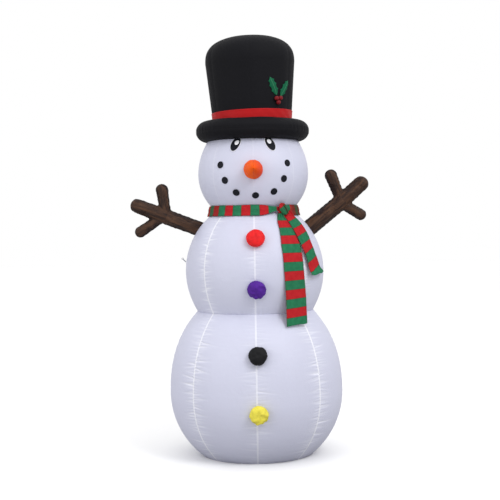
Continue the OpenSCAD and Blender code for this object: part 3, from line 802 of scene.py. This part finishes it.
def button(node, ball, z, finish, seed, lumpy):
    """A stuffed round in polar form: the face is a flat dome, and folds swell towards the rim."""
    low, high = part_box(node)
    middle_x = (low[0] + high[0])/2
    size = (high[0] - low[0])/2
    outwards, upwards = ball_normal(ball, z)
    reach = np.linspace(0, 1, 60)[:, None]
    turn = whole_turn(216)
    bend = reach*math.pi*0.80
    face = np.sin(np.minimum(bend, math.pi/2))
    rim = 1 + 0.024*lumpy*rough_wave(turn, 3, seed) + 0.017*lumpy*rough_wave(turn, 8, seed + 1)*face**4
    rim = rim + 0.008*lumpy*rough_wave(turn, 21, seed + 4)*face**6
    across = size*np.sin(bend)**0.8*rim
    lift = size*0.60*(np.cos(bend) + 0.55) + 0.0020*lumpy*rough_wave(turn, 8, seed + 1)*face**3
    lift = lift + 0.0026*lumpy*rough_wave(turn + 2.5*reach, 4, seed + 3)*np.sin(math.pi*reach)
    lift = lift + 0.0012*rough_wave(turn + 5*reach, 7, seed + 2)*reach - 0.003*np.exp(-(reach/0.06)**2)
    x = across*np.cos(turn)
    y = across*np.sin(turn)
    x, y, lift = (np.concatenate([part, last]) for part, last in
                  ((x, 0*x[-1:]), (y, 0*y[-1:]), (lift, 0*lift[-1:] + lift[-1:].mean())))
    base_r = ball_radius(ball, z) - 0.002
    points = surface(middle_x + x, -(base_r + lift*outwards - y*upwards), z + y*outwards + lift*upwards)
    piece = grid_mesh(node + "_puff", points[::-1], wrap=True)
    close_up(piece)
    sew(piece, finish, node)


# A row: node, ball, height, colour, seed of its folds, how lumpy it is
for node, ball, z, colour, seed, lumpy in (
        ("button_red", CHEST_BALL, 1.238, (0.83, 0.018, 0.020), 61, 0.8),
        ("button_purple", CHEST_BALL, 0.969, (0.085, 0.018, 0.290), 65, 1.7),
        ("button_black", BASE_BALL, 0.610, (0.0085, 0.0085, 0.0100), 69, 1.4),
        ("button_yellow", BASE_BALL, 0.304, (0.82, 0.72, 0.085), 73, 1.5)):
    finish, spot = nylon(node + "_nylon", colour, 0.55, coords="Object", shade=0.62,
                         Specular_IOR_Level=0.15)[:2]
    mottle = noise(finish, spot, 34.0, 3.0)
    spread = add_node(finish, "MapRange", [("Value", mottle), ("From Min", 0.30), ("From Max", 0.66)])
    set_colour(finish, mixed(finish, spread.outputs[0], tuple(0.74*c for c in colour),
                             tuple(min(0.95, 1.08*c) for c in colour)))
    button(node, ball, z, finish, seed, lumpy)


# ---- Arms ----
# Two branch-shaped arms of brown nylon printed with bark, each sewn from two panels with the
# seam round the outline and filled by the blower through the shoulder.
# A limb is (from, to, radius at from, radius at to); the first runs from the chest to the hub.
LEFT_LIMBS = [((-0.300, 1.293), (-0.511, 1.374), 0.041, 0.042),
              ((-0.511, 1.374), (-0.672, 1.438), 0.043, 0.038),
              ((-0.509, 1.396), (-0.528, 1.529), 0.029, 0.033),
              ((-0.537, 1.365), (-0.657, 1.286), 0.027, 0.030)]
RIGHT_LIMBS = [((0.303, 1.281), (0.507, 1.446), 0.046, 0.045),
               ((0.507, 1.446), (0.621, 1.546), 0.044, 0.041),
               ((0.496, 1.472), (0.448, 1.597), 0.029, 0.033),
               ((0.521, 1.427), (0.618, 1.367), 0.029, 0.030)]
ARM_VOXEL = 0.0045
ARM_SWELL = 0.004
# Added to every limb for what the smoothing takes away
LIMB_EASE = 0.0028
# Frames that the cloth has to fill
ARM_FRAMES = 20


def limb_mesh(name, start, end, first, last):
    """A round limb in the plane y = 0 with a domed end: a profile of rings carried along it."""
    start, end = np.array([start[0], 0, start[1]]), np.array([end[0], 0, end[1]])
    length = np.linalg.norm(end - start)
    forward = (end - start)/length
    side = np.array([-forward[2], 0, forward[0]])
    cap = np.linspace(0, math.pi/2, 9)
    along = np.concatenate([-first*0.6*np.cos(cap), [length*0.5], length + last*np.sin(cap)])
    girth = np.concatenate([first*np.sin(cap), [(first + last)/2], last*np.cos(cap)])
    girth = girth + LIMB_EASE*np.sign(girth.round(6))
    turn = np.linspace(0, 2*math.pi, 41)[:-1]
    rim = np.cos(turn)[:, None]*side + np.sin(turn)[:, None]*np.array([0, 1, 0])
    points = start + along[:, None, None]*forward + girth[:, None, None]*rim[None]
    limb = grid_mesh(name, points, wrap=True)
    close_up(limb, 1e-4)
    return limb


def take_shape(piece):
    """Applies the piece's modifiers to its mesh."""
    mesh = bpy.data.meshes.new_from_object(piece.evaluated_get(bpy.context.evaluated_depsgraph_get()))
    piece.modifiers.clear()
    piece.data = mesh


def swell(piece, pressure, cap, held, growth):
    """Blows the cloth up for ARM_FRAMES, without gravity. The held points stay on their seam, the
    cloth between them is cut larger by growth, and no point moves further than cap."""
    rest = mesh_points(piece)
    group = piece.vertex_groups.new(name="seam")
    group.add(np.flatnonzero(held).tolist(), 1.0, "REPLACE")
    air = piece.modifiers.new("air", "CLOTH")
    air.settings.vertex_group_mass = "seam"
    air.settings.use_pressure = True
    air.settings.uniform_pressure_force = pressure
    air.settings.effector_weights.gravity = 0
    air.settings.shrink_min = -growth
    air.settings.bending_stiffness = 0.3
    air.point_cache.frame_start, air.point_cache.frame_end = 1, ARM_FRAMES
    for step in range(1, ARM_FRAMES + 1):
        scene.frame_set(step)
    shape = piece.evaluated_get(bpy.context.evaluated_depsgraph_get()).data
    moved = np.empty(rest.size)
    shape.vertices.foreach_get("co", moved)
    piece.modifiers.remove(air)
    piece.vertex_groups.clear()
    scene.frame_set(1)
    shift = moved.reshape(-1, 3) - rest
    size = np.linalg.norm(shift, axis=1, keepdims=True)
    rest = rest + shift*np.minimum(1, cap/np.maximum(size, 1e-9))
    piece.data.vertices.foreach_set("co", rest.ravel())
    piece.data.update()


def bark(name):
    """Nylon printed with bark: long streaks along each limb in three browns. The colour turns
    darker towards the seam round the outline."""
    finish, spot = nylon(name, (0.060, 0.030, 0.020), 0.60, coords="Object", shade=0.8,
                         Specular_IOR_Level=0.18)[:2]
    grain = add_node(finish, "Attribute", attribute_name="grain").outputs["Vector"]
    stretch = add_node(finish, "Mapping", [("Vector", grain), ("Scale", (7.0, 52.0, 52.0))])
    streak = add_node(finish, "TexNoise", [("Vector", stretch.outputs[0]), ("Scale", 1.0),
                                           ("Detail", 5.0), ("Distortion", 0.7)])
    ridge = add_node(finish, "MapRange", [("Value", streak.outputs["Fac"]), ("From Min", 0.40),
                                          ("From Max", 0.64)])
    patch = noise(finish, grain, 16.0, 2.0)
    warm = mixed(finish, patch, (0.046, 0.023, 0.0165), (0.118, 0.057, 0.029))
    streaks = mixed(finish, ridge.outputs[0], (0.024, 0.0135, 0.0115), warm)
    off = add_node(finish, "Math", [(0, axis_of(finish, spot, 1))], operation="ABSOLUTE")
    edge = add_node(finish, "MapRange", [("Value", off.outputs[0]), ("From Min", 0.009),
                                         ("From Max", 0.030), ("To Min", 0.95), ("To Max", 0.0)])
    set_colour(finish, mixed(finish, edge.outputs[0], streaks, (0.0155, 0.0095, 0.0085)))
    return finish


BARK = bark("bark_nylon")


def branch_arm(side, limbs, sign):
    """Joins the limbs in one skin, smooths the crotches, blows it up with its seam held, and
    lays the bark's grain along the nearest limb."""
    parts = [limb_mesh("arm_%s_branch" % side, *limb) for limb in limbs]
    arm = parts[0]
    with edited(arm.data) as work:
        for part in parts[1:]:
            work.from_mesh(part.data)
    for part in parts[1:]:
        bpy.data.objects.remove(part)
    skin = arm.modifiers.new("skin", "REMESH")
    skin.mode = "VOXEL"
    skin.voxel_size = ARM_VOXEL
    skin.use_smooth_shade = True
    soft = arm.modifiers.new("soft", "SMOOTH")
    soft.factor = 0.6
    soft.iterations = 7
    take_shape(arm)
    place = mesh_points(arm)
    swell(arm, 3.0, ARM_SWELL, np.abs(place[:, 1]) < 0.55*ARM_VOXEL, 0.05)
    fine = arm.modifiers.new("fine", "SUBSURF")
    fine.levels = fine.render_levels = 1
    take_shape(arm)
    place = mesh_points(arm)
    best = np.full(len(place), 9.0)
    grain = np.zeros_like(place)
    inwards = np.zeros_like(place)
    for number, (start, end, first, last) in enumerate(limbs):
        start, end = np.array([start[0], 0, start[1]]), np.array([end[0], 0, end[1]])
        length = np.linalg.norm(end - start)
        forward = (end - start)/length
        along = (place - start) @ forward
        from_line = place - start - np.clip(along, 0, length)[:, None]*forward
        reach = np.linalg.norm(from_line, axis=1)/(first + (last - first)*np.clip(along/length, 0, 1))
        own = reach < best
        best[own] = reach[own]
        across = (place - start) @ np.array([-forward[2], 0, forward[0]])
        grain[own] = np.stack([along + number, place[:, 1], across], -1)[own]
        away = np.linalg.norm(from_line, axis=1, keepdims=True)
        inwards[own] = (-from_line/np.maximum(away, 1e-6))[own]
    near = np.exp(-(place[:, 1]/0.010)**2)
    pinch = 0.0011*near*rough_wave(grain[:, 0]*12, 16, 81 + sign) + 0.0006*near
    place = place + inwards*pinch[:, None]
    arm.data.vertices.foreach_set("co", place.ravel())
    point_values(arm, "grain", grain)
    arm.data.polygons.foreach_set("use_smooth", np.ones(len(arm.data.polygons), bool))
    arm.data.materials.clear()
    arm.data.materials.append(BARK)
    node = "arm_%s" % side
    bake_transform(arm)
    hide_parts(node)


branch_arm("left", LEFT_LIMBS, -1)
branch_arm("right", RIGHT_LIMBS, 1)


# ---- Scarf ----
# One strip of fleece printed with red and green stripes, folded lengthwise round the neck and
# tied over the right front. Two hemmed tails hang down the chest and are loose below the knot.
STRIPE = 0.0512
FLEECE_T = 0.0016
WRAP_LOW, WRAP_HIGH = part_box("scarf_wrap")
WRAP_R = (0.2636, 0.2516)
WRAP_STRIPE_START = -0.0187 - STRIPE
KNOT_AZIMUTH = math.radians(37)
KNOT_Z = 1.404


def fleece():
    """Striped fleece: v, in metres along the scarf, gives the stripe. Short nap as fine noise,
    a faint rib across, and painted shade, mixed towards dark brown by a point attribute, on the
    neck strip's sides, over the knot and along the tails' hems."""
    finish = new_finish("scarf_cloth", (0.55, 0.02, 0.03), 0.88, Specular_IOR_Level=0.08)
    spot = place_on(finish, "UV")
    wobble = noise(finish, spot, 30.0, 1.0)
    shifted = sum_of(finish, scaled(finish, wobble, 0.0016), axis_of(finish, spot, 1))
    lap = add_node(finish, "Math", [(0, scaled(finish, shifted, 0.5/STRIPE))], operation="FRACT")
    red = band_mask(finish, lap.outputs[0], 0.0015, 0.4985, 0.0020)
    blotch = noise(finish, spot, 36.0, 3.0)
    greens = mixed(finish, blotch, (0.013, 0.113, 0.054), (0.034, 0.242, 0.113))
    reds = mixed(finish, blotch, (0.37, 0.011, 0.017), (0.575, 0.026, 0.031))
    striped = mixed(finish, red, greens, reds)
    inside = add_node(finish, "Math", [(0, scaled(finish, lap.outputs[0], 2.0))], operation="FRACT")
    clear = band_mask(finish, inside.outputs[0], 0.030, 0.970, 0.020)
    striped = mixed(finish, clear, (0.060, 0.022, 0.018), striped)
    # Painted shade: the point attribute set on the neck strip, the knot and the tails darkens the stripes
    # towards brown.
    doubled = add_node(finish, "Attribute", attribute_name="doubled")
    set_colour(finish, mixed(finish, scaled(finish, doubled.outputs["Fac"], 0.72), striped,
                             (0.075, 0.030, 0.018)))
    nap = noise(finish, spot, 700.0, 3.0)
    rib = threads(finish, spot, 0.0016, "X")
    set_bump(finish, sum_of(finish, scaled(finish, nap, 0.9), scaled(finish, rib, 0.35)), 0.0005)
    return finish


FLEECE = fleece()


def thicken(piece, thickness=FLEECE_T):
    """Gives a sheet its thickness, half of it on each side."""
    wall = piece.modifiers.new("cloth", "SOLIDIFY")
    wall.thickness = thickness
    wall.offset = 0


# The strip round the neck: its section goes up the outside, over a fold, and down the inside.
turn = np.radians(np.linspace(-180, 180, 541)[:-1])[None, :]
fold = np.linspace(0, 1, 49)[:, None]
up = np.sin(math.pi*fold)**0.85
outer = 0.5 + 0.5*np.cos(math.pi*fold)
narrow = bump_step(np.degrees(turn), 8, 31)*(1 - bump_step(np.degrees(turn), 43, 52))
height = (WRAP_HIGH[2] - WRAP_LOW[2] - 0.004)*(1 - 0.60*narrow)
foot = WRAP_LOW[2] + 0.002 + 0.024*narrow + 0.0016*rough_wave(turn, 9, 91)
wrap_z = foot + height*up + 0.0012*rough_wave(turn, 7, 92)*up
share = (wrap_z - WRAP_LOW[2])/(WRAP_HIGH[2] - WRAP_LOW[2])
lengthwise = 0.0016*np.cos(2*math.pi*(1.5*up + 0.12*rough_wave(turn, 4, 93)))*outer
wrap_r = WRAP_R[0] + (WRAP_R[1] - WRAP_R[0])*share + 0.0042*outer + lengthwise*np.sin(math.pi*up)
wrap_r = wrap_r + 0.0007*rough_wave(turn + 2*up, 24, 94)*outer
wrap = grid_mesh("scarf_round_neck", round_axis(wrap_r, turn, wrap_z),
                 uv=(fold*0.13, turn*0.262 - WRAP_STRIPE_START), wrap=True)
# Painted shade on both sides of the neck strip, where the cloth lies doubled behind: full on the right
# beyond the knot, a little over half on the left.
doubled = np.maximum(bump_step(np.degrees(turn), 50, 58), 0.55*bump_step(-np.degrees(turn), 44, 52))
point_values(wrap, "doubled", np.broadcast_to(doubled, wrap_r.shape).ravel())
thicken(wrap)
sew(wrap, FLEECE, "scarf_wrap")


def knot_face():
    """The knot as a closed form on a polar grid: an oval that leans to the right, thin at the
    back, with shallow pleats along it and one deep crease where the strip passes under."""
    polar = np.linspace(0, math.pi, 70)[:, None]
    turn = whole_turn(180)
    reach = np.sin(polar)**0.7
    outline = 1 + 0.05*rough_wave(turn, 3, 96)
    along = 0.0400*reach*np.cos(turn)*outline
    across = 0.0245*reach*np.sin(turn)*outline
    tilt = math.radians(-52)
    x = along*math.cos(tilt) - across*math.sin(tilt)
    y = np.clip(along*math.sin(tilt) + across*math.cos(tilt), -0.0350, 0.0345)
    spread = 0.45 + 0.55*np.clip(1 - (along/0.045)**2, 0, 1)
    front = np.clip(np.cos(polar), 0, 1)**0.5
    lift = 0.0110*np.cos(polar) + 0.0014*np.cos(2*math.pi*across/(0.0130*spread) + 1.1)*front
    lift = lift - 0.0050*np.exp(-((across - 0.0045 + 0.10*along)/0.0030)**2)*front
    radius = 0.2790 + lift
    a = KNOT_AZIMUTH + x/0.27
    z = KNOT_Z + y
    uv = (across[::-1], (2*STRIPE - along - 0.020)[::-1])
    knot = grid_mesh("scarf_knot_fold", round_axis(radius, a, z)[::-1], wrap=True, uv=uv)
    # Painted shade over the knot: a little all over, more on one side of the crease where the strip
    # passes under, and most in the crease itself.
    crease = np.exp(-((across - 0.0045 + 0.10*along)/0.005)**2)*front
    knot_shade = np.where(across > 0.0045 - 0.10*along, 0.42, 0.12) + 0.5*crease
    point_values(knot, "doubled", knot_shade[::-1].ravel())
    close_up(knot)
    sew(knot, FLEECE, "scarf_knot")


knot_face()


def hang_radius(z, lift):
    """Over the neck strip above its foot, along the chest to its widest ring, then straight."""
    over_neck = WRAP_R[0] + 0.0090 - 0.19*(z - 1.368)
    on_chest = ball_radius(CHEST_BALL, np.maximum(z, CHEST_BALL[1])) + lift
    return np.where(z > 1.345, np.maximum(on_chest, over_neck), on_chest)


def scarf_tail(node, edges, top, bottom, first_stripe, kick, slant, rise, curl, seed):
    """A hanging strip between two edges given as (height, left azimuth, right azimuth), cut
    flat_width wide. Its pleats are deepest at the knot, and its hem may kick outwards. slant
    turns the stripes square to a tail that hangs askew, rise lifts the hem towards its right
    corner, and curl turns the left edge up. Painted shade darkens the hemmed edges and a line
    along the hem's stitching."""
    fine = np.linspace(bottom, top, 3000)
    radius = hang_radius(fine, 0.0062)
    run = np.concatenate([[0], np.cumsum(np.hypot(np.diff(fine), np.diff(radius)))])
    even = np.linspace(0, run[-1], int(run[-1]/0.004) + 2)
    z = np.interp(even, run, fine)[:, None]
    even = even[:, None]
    across = np.linspace(0, 1, 61)[None, :]
    heights, lefts, rights = (np.array(c, float) for c in zip(*sorted(edges)))
    left, right = (np.radians(np.interp(z, heights, c)) for c in (lefts, rights))
    azimuth = left + (right - left)*across
    top_share = bump_step(z, top - 0.22, top - 0.01)
    pleat = np.cos(2*math.pi*(3.0*across + 0.15*rough_wave(z*3, 4, seed)))
    out = np.interp(z, fine, radius) + (0.0007 + 0.0026*top_share)*pleat
    out = out + 0.0011*rough_wave(z*8 + 2.2*across, 3, seed + 1) + 0.0008*np.abs(2*across - 1)**4
    hem = 1 - bump_step(even, 0, 0.055)
    out = out + kick*hem**2*(0.75 + 0.4*np.cos(math.pi*(1.3*across - 0.6)))
    out = out + curl*np.clip(1 - across/0.16, 0, 1)**2*(1 - bump_step(z, top - 0.05, top))
    drop = 0.0022*rough_wave(across*3, 4, seed + 2)*hem + rise*across*(1 - bump_step(even, 0, 0.45))
    points = round_axis(out, azimuth, z + drop)
    width = float(np.max((right - left)*0.4))
    tail_piece = grid_mesh(node + "_strip", points,
                           uv=(across*width, even - first_stripe - slant*(across - 0.5)*width))
    from_edge = np.minimum(across, 1 - across)*(right - left)*out
    # Painted shade along both hemmed edges, and a fainter painted dark line along the hem's stitching,
    # 9.5 mm in.
    sewn = 0.62*np.exp(-(from_edge/0.0034)**2) + 0.30*np.exp(-((from_edge - 0.0095)/0.0011)**2)
    point_values(tail_piece, "doubled", sewn.ravel())
    thicken(tail_piece)
    tail_piece.data.materials.append(FLEECE)
    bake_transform(tail_piece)
    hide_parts(node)


scarf_tail("scarf_tail_long",
           [(1.404, 31.5, 36), (1.372, 29.0, 36.9), (1.333, 25, 37.9), (1.207, 22.7, 41.3),
            (1.071, 23, 41.2), (0.906, 24.4, 43.5), (0.759, 24.6, 44.3)],
           top=1.400, bottom=0.760, first_stripe=0.045, kick=0, slant=0,
           rise=0.012, curl=0, seed=101)
scarf_tail("scarf_tail_short",
           [(1.404, 36.2, 46), (1.372, 37.1, 55), (1.333, 38.1, 56), (1.299, 39.0, 56.3),
            (1.207, 41.6, 56), (1.143, 44.6, 58), (1.060, 47.0, 64), (1.038, 47.5, 68.0)],
           top=1.398, bottom=1.034, first_stripe=0.030, kick=0.020, slant=0.20,
           rise=0.014, curl=0.0055, seed=105)


# ---- Floor panel and ballast ----
# The base's flat bottom is a disc of coated nylon, hemmed where the gores meet it. Two round
# pouches filled with sand lie on it, so the figure stands up again when it is pushed.
FLOOR_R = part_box("floor_panel")[1][0]
turn = whole_turn(192)
ring = np.linspace(0.004, 1, 40)[:, None]
rim = bump_step(ring, 0.93, 1)
panel_r = FLOOR_R*ring - 0.0012
panel_z = 0.0013 + 0.0002*rough_wave(turn, 50, 111)*rim
panel = grid_mesh("floor_disc", round_axis(panel_r, turn, panel_z)[::-1], wrap=True,
                  uv=((panel_r*np.sin(turn))[::-1], (panel_r*np.cos(turn))[::-1]))
close_up(panel, 0.003)
thicken(panel, 0.0016)
sew(panel, nylon("floor_nylon", (0.17, 0.18, 0.21), 0.5, shade=0.85)[0], "floor_panel")

BAG_R = 0.105
BAG_PLACES = ((-0.135, -0.050), (0.135, -0.050))


def canvas(name, colour):
    """Plain-weave canvas: two crossing sets of threads, with flecks of a paler yarn."""
    finish = new_finish(name, colour, 0.8)
    spot = place_on(finish, "Object")
    over = threads(finish, spot, 0.0014, "X")
    under = threads(finish, spot, 0.0014, "Y")
    fleck = noise(finish, spot, 420.0, 2.0)
    set_colour(finish, mixed(finish, fleck, tuple(0.7*c for c in colour),
                             tuple(min(1, 1.35*c) for c in colour)))
    set_bump(finish, sum_of(finish, over, under), 0.0004)
    return finish


BALLAST = canvas("ballast_cloth", (0.060, 0.062, 0.070))
polar = np.linspace(0, math.pi, 61)[:, None]
for number, (bag_x, bag_y) in enumerate(BAG_PLACES):
    reach = np.sin(polar)**0.55
    edge = np.exp(-(np.cos(polar)/0.10)**2)
    girth = (BAG_R - 0.006)*reach*(1 + 0.030*rough_wave(turn, 21, 115 + number)*edge) + 0.005*edge
    lumps = 0.0020*rough_wave(turn + polar, 6, 117 + number)
    top = 0.030 + 0.0235*np.cos(polar) + lumps*np.sin(polar)**2
    top = np.where(polar > math.pi/2, np.maximum(top, 0.0042), top)
    points = surface(bag_x + girth*np.sin(turn), bag_y - girth*np.cos(turn), top)
    bag = grid_mesh("ballast_bag_%d" % number, points[::-1], wrap=True)
    close_up(bag)
    sew(bag, BALLAST, "ballast_bags")


# ---- Fan sleeve and drawstring ----
# A short sleeve of the base's nylon goes over the fan's barrel, drawn tight by a braided cord
# in a channel.
SLEEVE_LOW, SLEEVE_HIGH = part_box("fan_sleeve")
turn = whole_turn(360)
length = np.linspace(0, 1, 34)[:, None]
tied = np.exp(-((length - 0.90)/0.10)**2)
sleeve_r = 0.0876 + 0.0006*rough_wave(turn, 34, 19)*(1 - length) + 0.0008*rough_wave(turn, 60, 121)*tied
sleeve_y = SLEEVE_LOW[1] + 0.001 + (SLEEVE_HIGH[1] - 0.004 - SLEEVE_LOW[1])*length
sleeve_points = surface(sleeve_r*np.sin(turn), sleeve_y, FAN_Z + sleeve_r*np.cos(turn))
sleeve = grid_mesh("fan_sleeve_cloth", sleeve_points[::-1], wrap=True, uv=(turn*0.088, length*0.074))
thicken(sleeve, 0.0010)
sew(sleeve, nylon("sleeve_nylon", (0.60, 0.61, 0.74), 0.48, shade=0.93)[0], "fan_sleeve")


def braid(name, colour):
    """Braided cord: diagonal waves both ways."""
    finish = new_finish(name, colour, 0.7)
    spot = place_on(finish, "Object")
    slanted = add_node(finish, "Mapping", [("Vector", spot), ("Rotation", (0.7, 0.7, 0.7))])
    lay = threads(finish, slanted.outputs[0], 0.0016, "DIAGONAL")
    set_colour(finish, toned(finish, lay, 0.55, colour))
    set_bump(finish, lay, 0.0004)
    return finish


def dress(finish, *names):
    """Gives CAD nodes a finish."""
    for name in names:
        mesh = nodes[name].data
        mesh.materials.clear()
        mesh.materials.append(finish)


dress(braid("cord_grey", (0.30, 0.31, 0.33)), "fan_drawstring")


# ---- Blower fan ----
# Injection-moulded housing and grille, a steel-cased motor on a moulded mount, and a seven-blade
# impeller on its shaft. Four screws hold the grille.
def moulded(name, colour, roughness, grain=420.0, depth=0.00018, **sockets):
    """Moulded plastic with a fine spark-eroded grain and slightly uneven gloss."""
    finish = new_finish(name, colour, roughness, **sockets)
    spot = place_on(finish, "Object")
    pits = noise(finish, spot, grain, 3.0)
    flow = noise(finish, spot, 14.0, 2.0)
    set_colour(finish, toned(finish, flow, 0.82, colour))
    gloss = add_node(finish, "MapRange", [("Value", flow), ("To Min", roughness - 0.06),
                                          ("To Max", roughness + 0.08)])
    shader = finish.node_tree.nodes["Principled BSDF"]
    finish.node_tree.links.new(gloss.outputs[0], shader.inputs["Roughness"])
    set_bump(finish, pits, depth)
    return finish


def turned_metal(name, colour, roughness, scale=900.0):
    """Metal with fine scratches in one direction and a faint stain."""
    finish = new_finish(name, colour, roughness, Metallic=1.0)
    spot = place_on(finish, "Object")
    drawn = add_node(finish, "Mapping", [("Vector", spot), ("Scale", (1.0, 0.06, 1.0))])
    lines = noise(finish, drawn.outputs[0], scale, 2.0)
    stain = noise(finish, spot, 60.0, 3.0)
    set_colour(finish, toned(finish, stain, 0.78, colour))
    set_bump(finish, lines, 0.00012)
    return finish


dress(moulded("fan_plastic", (0.020, 0.020, 0.022), 0.45), "fan_housing", "fan_grille", "fan_motor_mount")
dress(moulded("impeller_plastic", (0.23, 0.24, 0.26), 0.38, grain=260.0), "fan_impeller")
dress(turned_metal("motor_steel", (0.56, 0.57, 0.58), 0.32), "fan_motor", "fan_shaft", "fan_screws")
dress(moulded("inlet_plastic", (0.015, 0.015, 0.016), 0.35, grain=600.0), "power_inlet")


# ---- Lamps inside ----
# A webbing strap hangs from the crown to the floor panel and carries the lamp lead, with four
# sockets and frosted lamps along it.
def webbing(name, colour):
    """Flat woven webbing: herringbone ribs across and a thread along."""
    finish = new_finish(name, colour, 0.72)
    spot = place_on(finish, "Object")
    ribs = threads(finish, spot, 0.0024, "DIAGONAL", 0.5)
    thread = threads(finish, spot, 0.0011, "X")
    set_colour(finish, toned(finish, ribs, 0.72, colour))
    set_bump(finish, sum_of(finish, ribs, scaled(finish, thread, 0.5)), 0.0004)
    return finish


WEBBING = webbing("webbing", (0.52, 0.53, 0.57))
dress(WEBBING, "lamp_strap")
dress(moulded("lead_plastic", (0.60, 0.61, 0.60), 0.42, grain=500.0), "lamp_lead")
dress(moulded("socket_plastic", (0.52, 0.53, 0.52), 0.40), "lamp_sockets", "lamp_lead_socket")
dress(moulded("bulb_plastic", (0.84, 0.85, 0.86), 0.30, grain=180.0, Transmission_Weight=0.35,
              IOR=1.46), "lamp_bulbs")


# ---- Tie points ----
# Folded webbing tabs sewn into the seams: two tether loops on the chest, and four stake tabs
# at the foot of the base, each with a pressed brass-plated eyelet.
dress(WEBBING, "tether_loops", "stake_tabs")
dress(turned_metal("eyelet_metal", (0.72, 0.66, 0.50), 0.28, scale=1500.0), "stake_eyelets")


# ---- Zipper ----
# A coil zipper on a woven tape closes the slit at the back of the base, where the fan and
# lamps are reached. Its slider and pull are die-cast.
def tape_weave(name, colour):
    """Twill tape: slanting ribs, and a darker stitch line along each edge."""
    finish = new_finish(name, colour, 0.75)
    spot = place_on(finish, "Object")
    twill = threads(finish, spot, 0.0015, "DIAGONAL")
    height = axis_of(finish, spot, 2)
    lines = [band_mask(finish, height, line - 0.0004, line + 0.0004, 0.0004)
             for line in (ZIP_Z - 0.0125, ZIP_Z + 0.0125)]
    ground = toned(finish, twill, 0.75, colour)
    set_colour(finish, mixed(finish, sum_of(finish, *lines), ground, (0.30, 0.31, 0.36)))
    set_bump(finish, twill, 0.0003)
    return finish


dress(tape_weave("zip_tape", (0.58, 0.59, 0.70)), "zipper_tape")
dress(turned_metal("zip_metal", (0.60, 0.60, 0.61), 0.35), "zipper_slider", "zipper_pull")

# The coil: half-round turns of nylon monofilament along the tape's middle, one every 3 mm.
TOOTH_PITCH = 0.0030
TEETH_R = 0.5004 + 0.0006
count = int(2*ZIP_HALF*TEETH_R/TOOTH_PITCH) - 2
tooth = np.arange(count)[:, None, None]
a = ZIP_AZIMUTH + (tooth - (count - 1)/2)*TOOTH_PITCH/TEETH_R
bow = np.linspace(0, math.pi, 9)[None, :, None]
wire = np.linspace(0, 2*math.pi, 7)[:-1][None, None, :]
wire_r = 0.00062
side_z = np.cos(bow)*(0.0027 - wire_r*np.cos(wire))
lift = 0.0006 + np.sin(bow)*(0.0012 - wire_r*np.cos(wire))
skew = a + (wire_r*np.sin(wire))/TEETH_R
radius = TEETH_R + lift
coil_points = round_axis(radius, skew, ZIP_Z + side_z)
index = np.arange(count*bow.size*wire.size).reshape(count, bow.size, wire.size)
around = np.roll(index, -1, axis=2)
quads = np.stack([index[:, :-1], around[:, :-1], around[:, 1:], index[:, 1:]], -1).reshape(-1, 4)
caps = np.concatenate([index[:, 0, ::-1], index[:, -1]])
mesh = bpy.data.meshes.new("zipper_coil")
mesh.from_pydata(coil_points.reshape(-1, 3), [], quads.tolist() + caps.tolist())
mesh.polygons.foreach_set("use_smooth", np.ones(len(mesh.polygons), bool))
coil = bpy.data.objects.new("zipper_coil", mesh)
scene.collection.objects.link(coil)
with edited(mesh) as work:
    bmesh.ops.recalc_face_normals(work, faces=work.faces)
sew(coil, moulded("zip_teeth", (0.50, 0.51, 0.58), 0.32, grain=900.0), "zipper_teeth")
